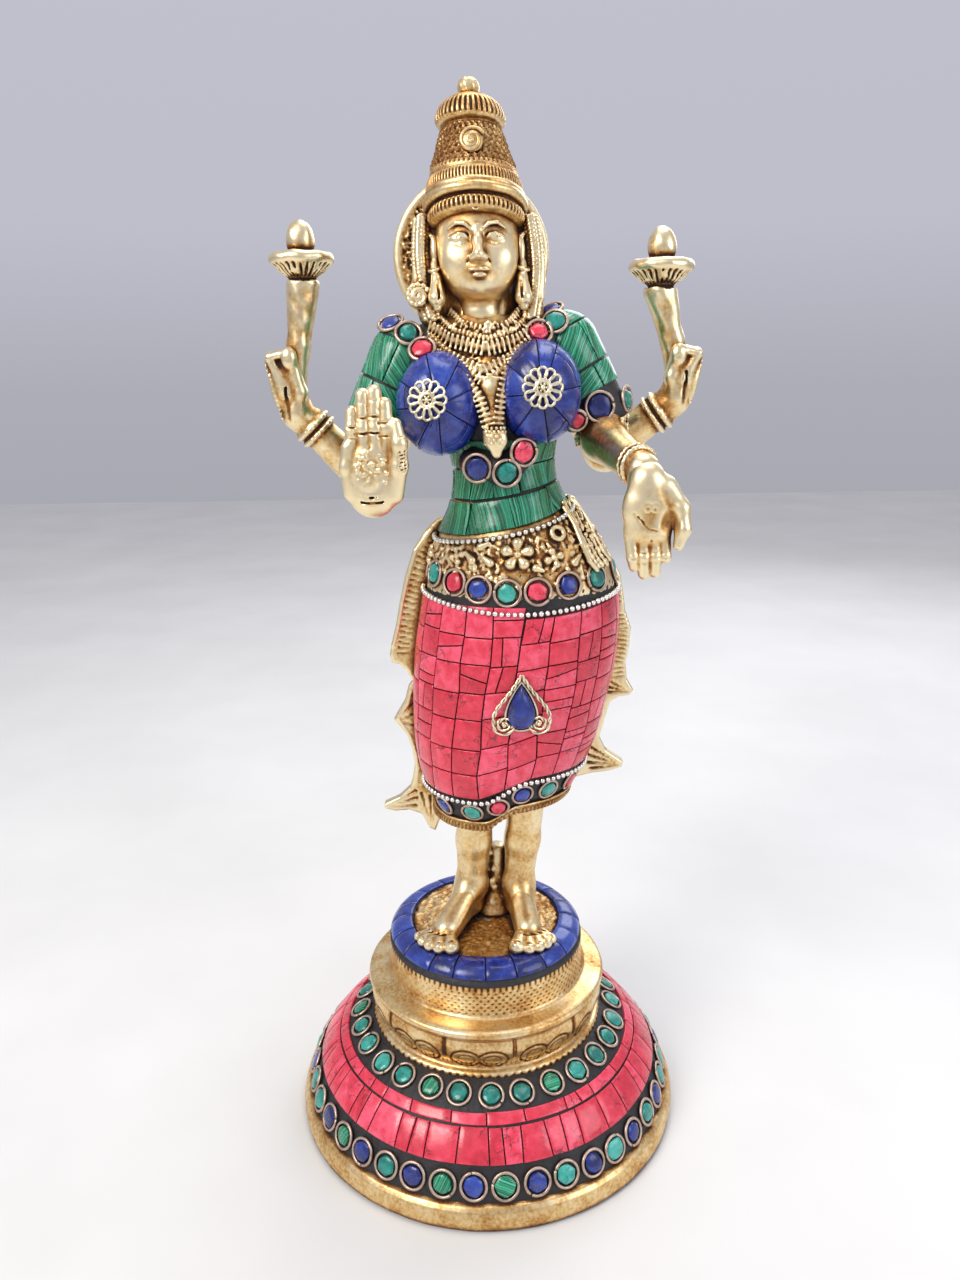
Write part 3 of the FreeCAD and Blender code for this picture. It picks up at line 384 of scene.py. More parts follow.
def add_tube(heap, points, radius, sides=8, ends=True, hint=(0, 0, 1)):
    """A round wire along points."""
    p = np.asarray(points, dtype=np.float64)
    n = len(p)
    along = np.gradient(p, axis=0)
    along /= np.maximum(np.linalg.norm(along, axis=1, keepdims=True), 1e-9)
    side = np.cross(along[0], hint)
    if np.linalg.norm(side) < 0.1:
        side = np.cross(along[0], (0.3, 1, 0.2))
    side = unit(side)
    rings = []
    for k in range(n):
        side = unit(side - along[k] * np.dot(side, along[k]))
        other = np.cross(along[k], side)
        t = np.linspace(0, TAU, sides, endpoint=False)
        rings.append(p[k] + radius * (np.outer(np.cos(t), side) + np.outer(np.sin(t), other)))
    pts = np.concatenate(rings)
    quads = rings_to_faces(sides, n)
    tris = []
    if ends:
        pts = np.concatenate([pts, [p[0] - along[0] * radius * 0.5], [p[-1] + along[-1] * radius * 0.5]])
        a = np.arange(sides)
        b = (a + 1) % sides
        tris = np.concatenate([
            np.stack([b, a, np.full(sides, n * sides)], axis=1),
            np.stack([(n - 1) * sides + a, (n - 1) * sides + b, np.full(sides, n * sides + 1)], axis=1),
        ])
    heap.add(pts, quads, tris)


def add_ring(heap, at, normal, radius, wire, steps=30, gap=0.0, start=0.0):
    """A ring of wire round a stone, left open a little where its ends meet."""
    side, up, normal = frame_of(normal)
    sides = 8
    if gap <= 0:
        t = np.linspace(0, TAU, steps, endpoint=False)
        u = np.linspace(0, TAU, sides, endpoint=False)
        out = np.outer(np.cos(t), side) + np.outer(np.sin(t), up)
        pts = np.concatenate([at + o * radius + wire * (np.outer(np.cos(u), o) + np.outer(np.sin(u), normal))
                              for o in out])
        heap.add(pts, rings_to_faces(sides, steps, True))
        return
    t = start + np.linspace(gap / 2, TAU - gap / 2, steps)
    path = [at + (math.cos(a) * side + math.sin(a) * up) * radius for a in t]
    add_tube(heap, path, wire, sides, hint=normal)


def add_bead(heap, at, radius, tint=0.5, normal=None, squash=1.0, sides=9, rows=6):
    side, up, axis = frame_of((0, 0, 1) if normal is None else normal)
    at = np.asarray(at, dtype=np.float64)
    pts = [at - axis * radius * squash]
    for k in range(1, rows):
        a = math.pi * k / rows - math.pi / 2
        for j in range(sides):
            t = TAU * j / sides
            pts.append(at + radius * (math.cos(a) * (math.cos(t) * side + math.sin(t) * up) + math.sin(a)
                                      * squash * axis))
    pts.append(at + axis * radius * squash)
    ring = np.arange(sides)
    nxt = (ring + 1) % sides
    quads = rings_to_faces(sides, rows - 1) + 1
    last = len(pts) - 1
    tris = np.concatenate([
        np.stack([np.zeros(sides, int), nxt + 1, ring + 1], axis=1),
        np.stack([last - sides + ring, last - sides + nxt, np.full(sides, last)], axis=1),
    ])
    heap.add(pts, quads, tris, tint)


def add_stone(heap, at, normal, radius, height):
    """A hand-cut stone: an uneven polygon with bevelled shoulders and a nearly flat top."""
    side, up, normal = frame_of(normal)
    sides = chance.choice((6, 7, 7, 8))
    turn = chance.uniform(0, 6.28)
    spread = [chance.uniform(0.87, 1.06) for _ in range(sides)]
    tilt = (chance.uniform(-0.10, 0.10), chance.uniform(-0.10, 0.10))
    levels = ((1.0, -0.6, 0.0), (1.0, 0.30, 0.3), (0.93, 0.62, 0.6), (0.66, 0.97, 1.0), (0.30, 1.03, 1.0))
    pts, band = [], []
    fine = 3
    for scale, rise, lean in levels:
        for k in range(sides):
            n = (k + 1) % sides
            for j in range(fine):
                f = j / fine
                a0 = turn + TAU * k / sides
                a1 = turn + TAU * (k + 1) / sides
                x = (1 - f) * math.cos(a0) * spread[k] + f * math.cos(a1) * spread[n]
                y = (1 - f) * math.sin(a0) * spread[k] + f * math.sin(a1) * spread[n]
                bulge = 1.0 + 0.05 * math.sin(math.pi * f)
                x, y = x * scale * bulge * radius, y * scale * bulge * radius
                h = rise * height + lean * (x * tilt[0] + y * tilt[1])
                pts.append(at + x * side + y * up + h * normal)
                band.append(x * math.cos(turn) + y * math.sin(turn))
    count = sides * fine
    pts.append(at + normal * height * 1.04)
    band.append(0.0)
    top = (len(levels) - 1) * count
    a = np.arange(count)
    tris = np.stack([top + a, top + (a + 1) % count, np.full(count, len(pts) - 1)], axis=1)
    heap.add(pts, rings_to_faces(count, len(levels)), tris, chance.random(), np.asarray(band) * 1.6)


def add_tile(heap, corners, surface, high=1.2, low=-0.5, grout=0.36, bevel=0.22, split=3, grain=None):
    """A tile that follows a surface. surface(u, v) gives a point and its normal; corners are (u, v) pairs."""
    outline = []
    n = len(corners)
    for k in range(n):
        a, b = np.asarray(corners[k], float), np.asarray(corners[(k + 1) % n], float)
        outline += [a + (b - a) * j / split for j in range(split)]
    centre = sum(outline) / len(outline)
    found = [surface(*uv) for uv in outline]
    middle = surface(*centre)
    p = np.array([f[0] for f in found])
    nrm = np.array([f[1] for f in found])
    c, cn = np.asarray(middle[0]), np.asarray(middle[1])
    e0 = p - np.roll(p, 1, axis=0)
    e1 = np.roll(p, -1, axis=0) - p
    e0 /= np.maximum(np.linalg.norm(e0, axis=1, keepdims=True), 1e-9)
    e1 /= np.maximum(np.linalg.norm(e1, axis=1, keepdims=True), 1e-9)
    n0, n1 = np.cross(nrm, e0), np.cross(nrm, e1)
    if np.mean(np.sum(n0 * (c - p), axis=1)) < 0:
        n0, n1 = -n0, -n1
    inward = (n0 + n1) / np.maximum(1.0 + np.sum(n0 * n1, axis=1, keepdims=True), 0.5)
    lift = high + chance.uniform(-0.09, 0.09)
    edge = p + inward * grout * 0.5
    soft = p + inward * (grout * 0.5 + bevel)
    rings = [edge + nrm * low, edge + nrm * (lift - bevel),
             p + inward * (grout * 0.5 + bevel * 0.35) + nrm * (lift - bevel * 0.3),
             soft + nrm * lift]
    inner = []
    for share in (0.45, 0.8):
        for uv in outline:
            f = surface(*(uv + (centre - uv) * share))
            inner.append(np.asarray(f[0]) + np.asarray(f[1]) * lift)
    pts = np.concatenate(rings + [np.array(inner), [c + cn * lift]])
    count = len(outline)
    rows = len(rings) + 2
    a = np.arange(count)
    tris = np.stack([(rows - 1) * count + a, (rows - 1) * count + (a + 1) % count,
                     np.full(count, len(pts) - 1)], axis=1)
    quads = rings_to_faces(count, rows)
    turn_way = np.sum(np.cross(p - c, np.roll(p, -1, axis=0) - c) @ cn)
    if turn_way < 0:
        quads, tris = quads[:, ::-1], tris[:, ::-1]
    angle = chance.uniform(0, math.pi) if grain is None else grain + chance.uniform(-0.35, 0.35)
    side, up, _ = frame_of(cn)
    band = (pts - c) @ (side * math.cos(angle) + up * math.sin(angle))
    heap.add(pts, quads, tris, chance.random(), band)


def sample_profile(profile, step):
    """Even points along a list of (r, z) corners."""
    p = np.asarray(profile, dtype=np.float64)
    out = [p[0]]
    for a, b in zip(p, p[1:]):
        count = max(1, int(math.ceil(np.linalg.norm(b - a) / step)))
        out += [a + (b - a) * k / count for k in range(1, count + 1)]
    return np.array(out)


def smooth_profile(points, step, rounds):
    """Even points along a path whose corners are rounded off by averaging neighbours."""
    p = sample_profile(points, step)
    for _ in range(rounds):
        p[1:-1] = (p[:-2] + 2 * p[1:-1] + p[2:]) / 4
    return p


def lathe(profile, segments, relief, closed=False):
    """Points and quads of a turned surface. relief(angle, r, z) moves points along the normal."""
    p = np.asarray(profile, dtype=np.float64)
    along = np.gradient(p, axis=0)
    normal = np.stack([along[:, 1], -along[:, 0]], axis=1)
    normal /= np.maximum(np.linalg.norm(normal, axis=1, keepdims=True), 1e-9)
    t = np.linspace(0, TAU, segments, endpoint=False)
    rows = len(p)
    T, R = np.meshgrid(t, np.arange(rows))
    h = relief(T, p[R, 0], p[R, 1])
    r = p[R, 0] + normal[R, 0] * h
    z = p[R, 1] + normal[R, 1] * h
    pts = np.stack([r * np.cos(T), r * np.sin(T), z], axis=2).reshape(-1, 3)
    return pts, rings_to_faces(segments, rows, closed)


# --- Sculpting: a field of signed distances that shapes are blended into ---
def smooth_min(a, b, k):
    if k <= 0:
        return np.minimum(a, b)
    h = np.maximum(k - np.abs(a - b), 0.0) / k
    return np.minimum(a, b) - h * h * (k * 0.25)


class Clay:
    """A block of space in millimetres, whose shapes become one skin."""

    FAR = 3.0  # distances are kept only up to this
    CAP = 1.5  # rounding of a loft's ends

    def __init__(self, low, high, step):
        self.step = step * 1.0
        self.low = np.array(low, dtype=np.float64)
        self.count = [int(math.ceil((b - a) / self.step)) + 1 for a, b in zip(low, high)]
        self.axes = [(a + self.step * np.arange(n)).astype(np.float32) for a, n in zip(low, self.count)]
        self.d = np.full(self.count, self.FAR, dtype=np.float32)

    def window(self, low, high, pad=2.2):
        cuts, grid = [], []
        for k in range(3):
            a = max(0, int(math.floor((low[k] - pad - self.low[k]) / self.step)))
            b = min(self.count[k], int(math.ceil((high[k] + pad - self.low[k]) / self.step)) + 1)
            cuts.append(slice(a, max(a, b)))
            shape = [1, 1, 1]
            shape[k] = -1
            grid.append(self.axes[k][cuts[k]].reshape(shape))
        return tuple(cuts), grid

    def put(self, low, high, distance, k=0.0, mode="add"):
        cuts, (x, y, z) = self.window(low, high)
        if any(c.stop <= c.start for c in cuts):
            return
        new = distance(x, y, z)
        old = self.d[cuts]
        if mode == "add":
            self.d[cuts] = smooth_min(old, new, k)
        elif mode == "cut":
            self.d[cuts] = -smooth_min(-old, new, k)
        else:
            self.d[cuts] = old - new * np.clip(1.6 - np.abs(old) * 0.4, 0.0, 1.0)

    def ball(self, c, r, k=0.0, mode="add"):
        r3 = (r, r, r) if isinstance(r, (int, float)) else r

        def distance(x, y, z):
            px, py, pz = x - c[0], y - c[1], z - c[2]
            if r3[0] == r3[1] == r3[2]:
                return np.sqrt(px * px + py * py + pz * pz) - r3[0]
            a = np.sqrt((px / r3[0]) ** 2 + (py / r3[1]) ** 2 + (pz / r3[2]) ** 2)
            b = np.sqrt((px / r3[0] ** 2) ** 2 + (py / r3[1] ** 2) ** 2 + (pz / r3[2] ** 2) ** 2)
            return a * (a - 1.0) / np.maximum(b, 1e-5)

        self.put([c[i] - r3[i] for i in range(3)], [c[i] + r3[i] for i in range(3)], distance, k, mode)

    def rod(self, a, b, ra, rb=None, k=0.0, mode="add"):
        rb = ra if rb is None else rb
        a, b = np.asarray(a, float), np.asarray(b, float)
        ab = b - a
        length = max(float(ab @ ab), 1e-9)

        def distance(x, y, z):
            px, py, pz = x - a[0], y - a[1], z - a[2]
            t = np.clip((px * ab[0] + py * ab[1] + pz * ab[2]) / length, 0.0, 1.0)
            qx, qy, qz = px - t * ab[0], py - t * ab[1], pz - t * ab[2]
            return np.sqrt(qx * qx + qy * qy + qz * qz) - (ra + (rb - ra) * t)

        r = max(ra, rb)
        self.put(np.minimum(a, b) - r, np.maximum(a, b) + r, distance, k, mode)

    def path(self, points, radii, k=0.0, mode="add"):
        if isinstance(radii, (int, float)):
            radii = [radii] * len(points)
        for p, q, r, s in zip(points, points[1:], radii, radii[1:]):
            self.rod(p, q, r, s, k, mode)

    def ring(self, c, axis, radius, wire, k=0.0, mode="add"):
        n = unit(axis)

        def distance(x, y, z):
            px, py, pz = x - c[0], y - c[1], z - c[2]
            h = px * n[0] + py * n[1] + pz * n[2]
            out = np.sqrt(np.maximum(px * px + py * py + pz * pz - h * h, 0.0)) - radius
            return np.sqrt(out * out + h ** 2) - wire

        reach = radius + wire
        self.put([v - reach for v in c], [v + reach for v in c], distance, k, mode)

    def loft(self, rows, k=0.0):
        """Oval sections: rows of (z, cx, cy, half width, half depth)."""
        rows = np.asarray(rows, dtype=np.float64)
        fine = np.linspace(rows[0, 0], rows[-1, 0], 160)
        smooth = [hermite(rows[:, 0], rows[:, j], fine) for j in range(1, 5)]

        def distance(x, y, z):
            zz = z.ravel()
            cx, cy, a, b = (np.interp(zz, fine, s).astype(np.float32).reshape(z.shape) for s in smooth)
            px, py = x - cx, y - cy
            e = np.sqrt((px / a) ** 2 + (py / b) ** 2)
            g = np.sqrt((px / a ** 2) ** 2 + (py / b ** 2) ** 2)
            side = e * (e - 1.0) / np.maximum(g, 1e-5)
            side = np.where(e < 0.3, -0.7 * np.minimum(a, b), side)
            end = np.maximum(z - rows[-1, 0], rows[0, 0] - z)
            return -smooth_min(-side, -end, self.CAP)

        reach = float(np.max(rows[:, 3:5])) + 1
        low = [float(np.min(rows[:, 1])) - reach, float(np.min(rows[:, 2])) - reach, rows[0, 0]]
        high = [float(np.max(rows[:, 1])) + reach, float(np.max(rows[:, 2])) + reach, rows[-1, 0]]
        self.put(low, high, distance, k)

    def slab(self, outline, y, half, edge):
        """A plate with an (x, z) outline and rounded edges; y is its middle."""
        pts = np.asarray(outline, dtype=np.float64)
        low, high = pts.min(axis=0), pts.max(axis=0)

        def distance(x, yy, z):
            px = np.broadcast_to(x, (x.shape[0], 1, z.shape[2]))
            pz = np.broadcast_to(z, (x.shape[0], 1, z.shape[2]))
            best = np.full(px.shape, 1e9, dtype=np.float32)
            inside = np.zeros(px.shape, dtype=bool)
            for (ax, az), (bx, bz) in zip(pts, np.roll(pts, -1, axis=0)):
                ex, ez = bx - ax, bz - az
                wx, wz = px - ax, pz - az
                t = np.clip((wx * ex + wz * ez) / (ex * ex + ez * ez), 0, 1)
                best = np.minimum(best, (wx - ex * t) ** 2 + (wz - ez * t) ** 2)
                crosses = (az > pz) != (bz > pz)
                with np.errstate(divide="ignore", invalid="ignore"):
                    inside ^= crosses & (px < (bx - ax) * (pz - az) / (bz - az if bz != az else 1e-9) + ax)
            flat = np.where(inside, -np.sqrt(best), np.sqrt(best))
            deep = np.abs(yy - y) - half
            a, b = flat + edge, deep + edge
            return np.sqrt(np.maximum(a, 0) ** 2 + np.maximum(b, 0) ** 2) + (
                np.minimum(np.maximum(a, b), 0)) - edge

        self.put([low[0], y - half - 1, low[1]], [high[0], y + half + 1, high[1]], distance)

    def relief(self, low, high, height):
        """Raises the surface by height(x, y, z), in millimetres."""
        self.put(low, high, height, 0.0, "relief")

    def blurred(self, field, reach):
        n = max(1, int(round(reach / self.step)))
        out = field
        for axis in range(3):
            pad = [(0, 0)] * 3
            pad[axis] = (n + 1, n)
            s = np.cumsum(np.pad(out, pad, mode="edge"), axis=axis, dtype=np.float64)
            size, wide = out.shape[axis], 2 * n + 1
            ahead, behind = ([slice(None)] * 3 for _ in range(2))
            ahead[axis], behind[axis] = slice(wide, wide + size), slice(0, size)
            out = ((s[tuple(ahead)] - s[tuple(behind)]) / wide).astype(np.float32)
        return out

    def skin(self):
        grid = openvdb.FloatGrid(self.FAR)
        grid.copyFromArray(self.d)
        points, tris, quads = grid.convertToPolygons(isovalue=0.0, adaptivity=0.0)
        return points.astype(np.float64) * self.step + self.low, tris, quads

    def piece(self, name, material, slot, nodes, cavity=1.0):
        points, tris, quads = self.skin()
        near = np.clip(self.d, -2.0, 2.0)
        index = np.clip(np.rint((points - self.low) / self.step).astype(int), 0, np.array(self.count) - 1)
        own = near[index[:, 0], index[:, 1], index[:, 2]]
        value = np.zeros(len(points))
        # cav: positive where the skin bulges, negative where it sinks; the brass materials use it to paint
        # shade into the sunken parts.
        for reach, gain in ((0.8, 1.5), (2.4, 0.45)):
            soft = self.blurred(near, reach)
            value += gain * (soft[index[:, 0], index[:, 1], index[:, 2]] - own)
        faces = [f for f in (quads, tris) if len(f)]
        return build(name, points, faces, material, nodes, {"cav": np.clip(value * cavity, -1.0, 1.0)})


def hermite(ts, values, at):
    """Smooth interpolation with finite-difference slopes."""
    ts, values = np.asarray(ts, float), np.asarray(values, float)
    slopes = np.gradient(values, ts)
    i = np.clip(np.searchsorted(ts, at) - 1, 0, len(ts) - 2)
    span = ts[i + 1] - ts[i]
    u = np.clip((at - ts[i]) / span, 0, 1)
    return ((2 * u**3 - 3 * u**2 + 1) * values[i] + (u**3 - 2 * u**2 + u) * span * slopes[i]
            + (3 * u**2 - 2 * u**3) * values[i + 1] + (u**3 - u**2) * span * slopes[i + 1])


# --- Base ---
FOOT_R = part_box("base_casting")[1][0] / MM
DOME_R, DOME_Z, DOME_ARC = FOOT_R - 40.9, DOME_TOP - 36.5, 39.8


def dome_at(angle, lift):
    a = math.radians(angle)
    return DOME_R + (DOME_ARC + lift) * math.cos(a), DOME_Z + (DOME_ARC + lift) * math.sin(a)


def dome_spot(turn, angle, lift=0.0):
    r, z = dome_at(angle, lift)
    t, a = math.radians(turn), math.radians(angle)
    at = np.array([r * math.cos(t), r * math.sin(t), z])
    return at, np.array([math.cos(a) * math.cos(t), math.cos(a) * math.sin(t), math.sin(a)])


def ripple(*waves):
    """A sum of waves round the axis, for castings that are not quite true."""
    def height(t, r, z):
        total = 0.0
        for count, size, phase in waves:
            total = total + size * np.sin(count * t + phase + 0.35 * z)
        return total
    return height


rim = [(58.5, 0.0), (FOOT_R - 0.8, 0.0), (FOOT_R - 0.1, 0.7), (FOOT_R, 1.8), (FOOT_R - 0.2, 4.2),
       (FOOT_R - 0.9, 6.2),
       (FOOT_R - 2.0, 7.5), (FOOT_R - 3.6, 8.0), (FOOT_R - 4.8, 8.0)]
skin_outer = [dome_at(a, -1.5) for a in np.linspace(17, 82, 20)]
skin_inner = [dome_at(a, -4.6) for a in np.linspace(82, 12, 20)]
shell = np.concatenate([smooth_profile(rim, 0.35, 1), np.array(skin_outer),
                        np.array([(9.0, 33.0), (9.0, 30.2)]),
                        np.array(skin_inner), np.array([(59.6, 3.0)])])
points, quads = lathe(shell, 420, ripple((7, 0.05, 0.4), (23, 0.03, 1.0), (61, 0.02, 2.0)), closed=True)
build("base_brass_rim", points, [quads], BRASS, ("base_casting",), sharp=50)

bed = [dome_at(a, -0.75) for a in np.linspace(15.0, 74.0, 110)]
points, quads = lathe(bed, 540, ripple((31, 0.05, 0.0), (83, 0.04, 1.1), (137, 0.04, 0.3)))
build("base_bed", points, [quads], MASTIC, ("base_mastic",))

def place_stone(heap, bezels, at, normal, radius, wire, stone, height=0.95):
    """A stone and the wire bezel round it."""
    add_ring(bezels, at + normal * 0.05, normal, radius, wire, 30, chance.choice((0.0, 0.10, 0.16)),
             chance.uniform(0, 6.28))
    add_stone(heap, at, normal, stone * chance.uniform(0.93, 1.03), height)


LOWER_COUNT, UPPER_COUNT = 40, 28
FRONT_ORDER = "tlgltlglgltltltlt"  # lower stones at places -8 to 8: turquoise, lapis, green
rings, lower, upper = Heap(), {kind: Heap() for kind in "ltg"}, Heap()
for k in range(LOWER_COUNT):
    j = k if k < LOWER_COUNT // 2 else k - LOWER_COUNT
    kind = FRONT_ORDER[j + 8] if abs(j) <= 8 else "lt"[j % 2]
    at, normal = dome_spot(FRONT + (k + 0.5) * 9 + chance.uniform(-0.25, 0.25),
                           22.8 + chance.uniform(-0.35, 0.35), -0.15)
    place_stone(lower[kind], rings, at, normal, 3.95, 0.52, 3.35)
rings.piece("base_lower_rings", BEZEL, "bezel_wire", ("base_lower_bezels",))
lower["l"].piece("base_lapis", LAPIS, "lapis", ("base_lapis_stones",), sharp=32)
lower["t"].piece("base_lower_turquoise", TURQUOISE, "turquoise", ("base_lower_turquoise_stones",), sharp=32)
rings = Heap()
for k in range(UPPER_COUNT):
    at, normal = dome_spot(FRONT + (k + 0.1) * 360 / UPPER_COUNT + chance.uniform(-0.5, 0.5),
                           60.0 + chance.uniform(-0.4, 0.4), -0.15)
    place_stone(lower["g"] if k in (2, 26, 21) else upper, rings, at, normal, 3.75, 0.50, 3.1)
rings.piece("base_upper_rings", BEZEL, "bezel_wire", ("base_upper_bezels",))
upper.piece("base_upper_turquoise", TURQUOISE, "turquoise", ("base_upper_turquoise_stones",), sharp=32)
lower["g"].piece("base_malachite", GREEN, "malachite", ("base_malachite_stones",), sharp=32)


def coral_band(name, node_name, count, low, high):
    joint = [chance.uniform(-1.1, 1.1) for _ in range(count)]
    wobble = [chance.uniform(-0.8, 0.8) for _ in range(count)]
    heap = Heap()
    for k in range(count):
        n = (k + 1) % count
        a, b = FULL_TURN * k / count + joint[k], FULL_TURN * (k + 1) / count + joint[n]
        top = high + chance.uniform(-0.25, 0.25)
        corners = [(a, low + chance.uniform(-0.2, 0.2)), (b, low + chance.uniform(-0.2, 0.2)),
                   (b + wobble[n], top), (a + wobble[k], top)]
        split, tiles = 4, [corners]
        if chance.random() < 0.16:
            f = chance.uniform(0.35, 0.65)
            m0, m1 = a + (b - a) * f, a + (b - a) * (f + chance.uniform(-0.12, 0.12))
            split, tiles = 3, [[corners[0], (m0, low), (m1, top), corners[3]],
                               [(m0, low), corners[1], corners[2], (m1, top)]]
        for tile in tiles:
            add_tile(heap, tile, lambda u, v: dome_spot(u + FRONT, v), 0.08, -1.0, split=split)
    heap.piece(name, CORAL, "coral", (node_name,), sharp=40)


coral_band("base_wide_coral", "base_wide_coral_tiles", 36, 31.2, 46.8)
coral_band("base_narrow_coral", "base_narrow_coral_tiles", 26, 47.2, 52.8)


# --- Pedestal ---
def stroke(distance, width, depth):
    return -depth * np.exp(-(distance / width) ** 2)


def pedestal_relief(t, r, z):
    """Knurled flange, petals engraved round the collar, short strokes below them, punched drum."""
    h = 0.05 * np.sin(5 * t + 0.2 * z) + 0.03 * np.sin(17 * t + 1.3)
    flange = np.clip(1 - np.abs(z - 33.9) / 1.3, 0, 1)
    h = h - flange * 0.50 * np.clip(np.sin(96 * t) - 0.1, 0, 1)
    cell = TAU / 11
    u = (np.mod(t + 0.21, cell) / cell - 0.5) * 2
    collar = (z > 36.4) & (z < 47.6) & (r > 35.5)
    x, y = np.abs(u), (z - 37.0) / 8.6
    lobe = np.sqrt(((x - 0.40) / 0.42) ** 2 + ((y - 0.34) / 0.44) ** 2)
    outline = stroke((lobe - 1.0) * 3.4, 0.24, 0.42)
    inner = stroke((np.sqrt(((x - 0.38) / 0.25) ** 2 + ((y - 0.32) / 0.26) ** 2) - 1.0) * 2.4, 0.20, 0.26)
    tips = stroke((x - 0.97) * 9.5, 0.30, 0.4) * (y > 0.42)
    strokes = -0.34 * np.clip(np.sin(150 * t) - 0.25, 0, 1) * np.clip(1 - np.abs(y - 0.06) * 6.0, 0, 1)
    h = h + np.where(collar, np.minimum(np.minimum(outline, inner), tips) + strokes, 0.0)
    drum = (z > 52.4) & (r < 35.2)
    ticks = -0.42 * np.clip(np.sin(104 * t) - 0.15, 0,
                            1) * np.clip((z - 60.1) / 0.8, 0, 1) * np.clip((62.6 - z) / 0.5, 0, 1)
    dots = np.clip(np.sin(88 * t + math.pi * (np.rint((z - 52.9) / 1.15) % 2)) - 0.35, 0, 1)
    dots = dots * np.clip(np.cos(TAU * (z - 52.9) / 1.15) - 0.1, 0, 1)
    punched = np.clip((np.cos(t + math.pi / 2 - 0.55) - 0.15) * 2.0, 0.12, 1.0)
    return h + np.where(drum, ticks - 0.62 * dots * punched * (z < 60.0), 0.0)


profile = [(30.0, 31.6), (38.4, 31.9), (39.4, 32.5), (39.9, 33.2), (39.9, 34.5), (39.3, 35.2), (37.9, 35.6),
           (37.5, 36.4),
           (38.1, 37.6), (39.4, 40.0), (40.2, 42.8), (40.2, 45.0), (39.6, 46.8), (40.0, 47.8), (40.8, 48.6),
           (41.0, 49.6),
           (40.5, 50.6), (39.2, 51.1), (36.6, 51.3), (34.6, 51.6), (33.9, 52.2), (33.6, 53.4), (33.3, 58.0),
           (33.1, 61.8),
           (32.9, 62.7), (32.2, 62.9), (25.0, 66.6), (24.2, 67.0)]
cut = smooth_profile(profile, 0.34, 3)
points, quads = lathe(cut, PEDESTAL_STEPS, pedestal_relief)
turns = np.tile(np.linspace(0, TAU, PEDESTAL_STEPS, endpoint=False), len(cut))
lift = pedestal_relief(turns, *(np.repeat(cut[:, j], PEDESTAL_STEPS) for j in (0, 1)))
# cav from the relief depth: the brass uses it to paint shade into the engraved grooves and punched dots.
build("pedestal_brass", points, [quads], RELIEF_BRASS, ("pedestal_casting",),
      attributes={"cav": np.clip(lift * 1.15, -0.6, 0.2)})


def shoulder(turn, share, lift=0.0):
    """Point and normal on the sloping ring between the drum's edge (0) and the plate (1)."""
    a = math.radians(12 + 86 * share)
    r = 25.4 + 7.4 * math.cos(a) ** 0.8 if math.cos(a) > 0 else 25.4 - 1.0 * share * -math.cos(a)
    z = 62.9 + 5.4 * math.sin(a)
    t = math.radians(turn)
    n = unit((math.cos(a) * 0.9, math.sin(a)))
    at = np.array([(r + n[0] * lift) * math.cos(t), (r + n[0] * lift) * math.sin(t), z + n[1] * lift])
    return at, np.array([n[0] * math.cos(t), n[0] * math.sin(t), n[1]])


slope = [shoulder(0, share, -0.5)[0] for share in np.linspace(0, 1, 14)]
bed = [(33.2, 62.2), (33.1, 63.3)] + [(np.hypot(*at[:2]), at[2]) for at in slope] + [(23.6, 66.0)]
points, quads = lathe(bed, 300, ripple((41, 0.04, 0.0), (77, 0.03, 0.5)))
build("pedestal_bed", points, [quads], MASTIC, ("pedestal_mastic",))
heap = Heap()
joint = [chance.uniform(-1.6, 1.6) for _ in range(20)]
for k in range(20):
    a, b = 18.0 * k + joint[k], 18.0 * (k + 1) + joint[(k + 1) % 20]
    add_tile(heap, [(a, 0.04), (b, 0.04), (b + chance.uniform(-0.4, 0.4), 0.98), (a, 0.98)], shoulder, 0.35,
             -0.8, 0.22, 0.35, 4)
heap.piece("pedestal_lapis", LAPIS, "lapis", ("pedestal_lapis_tiles",), sharp=40)


def plate_relief(t, r, z):
    x, y = r * np.cos(t), r * np.sin(t)
    top = z > FLOOR - 0.8
    grain = np.zeros_like(x)
    wave = random.Random(4)
    for _ in range(46):
        a, f, p = wave.uniform(0, 6.28), wave.uniform(0.8, 5.2), wave.uniform(0, 6.28)
        grain += np.sin(f * (x * math.cos(a) + y * math.sin(a)) + p) / (0.6 + f)
    return np.where(top, grain * 0.085, 0.0)


plate = smooth_profile([(0.3, FLOOR), (24.0, FLOOR), (24.9, FLOOR - 0.3), (25.2, FLOOR - 1.2),
                        (25.2, FLOOR - 3.0)], 0.3, 1)[::-1]
points, quads = lathe(plate, 300, plate_relief)
build("plate_casting", points, [quads], ROUGH_BRASS, ("standing_plate",))


# --- Skirt and midriff: one oval surface, described by rows of (rise, centre x, half width, half depth) ---
TRUNK = [
    (44.0, 4.6, 18.6, 15.0), (54.0, 5.6, 23.2, 18.4), (66.0, 7.2, 27.0, 21.0), (80.0, 8.9, 29.0, 22.6),
    (97.0, 11.0, 30.0, 23.2), (112.0, 12.4, 29.0, 22.4), (122.0, 12.6, 27.4, 21.0), (134.0, 11.8, 23.2, 17.8),
    (143.0, 9.4, 16.6, 13.9), (151.0, 8.0, 13.7, 12.0), (160.0, 7.0, 14.2, 12.0), (169.0, 5.0, 18.6, 13.2),
    (179.0, 3.2, 23.5, 14.6), (188.0, 2.2, 24.0, 13.6), (195.0, 1.6, 18.0, 11.2), (200.0, 1.2, 9.0, 8.0),
]
rises = np.array([row[0] for row in TRUNK])
LINES = [np.array([row[k] for row in TRUNK]) for k in (1, 2, 3)]
KNEE = np.array([-4.0, -21.0, 60.0])


FINE = np.linspace(rises[0], rises[-1], 640)
SECTIONS = [hermite(rises, line, FINE) for line in LINES]


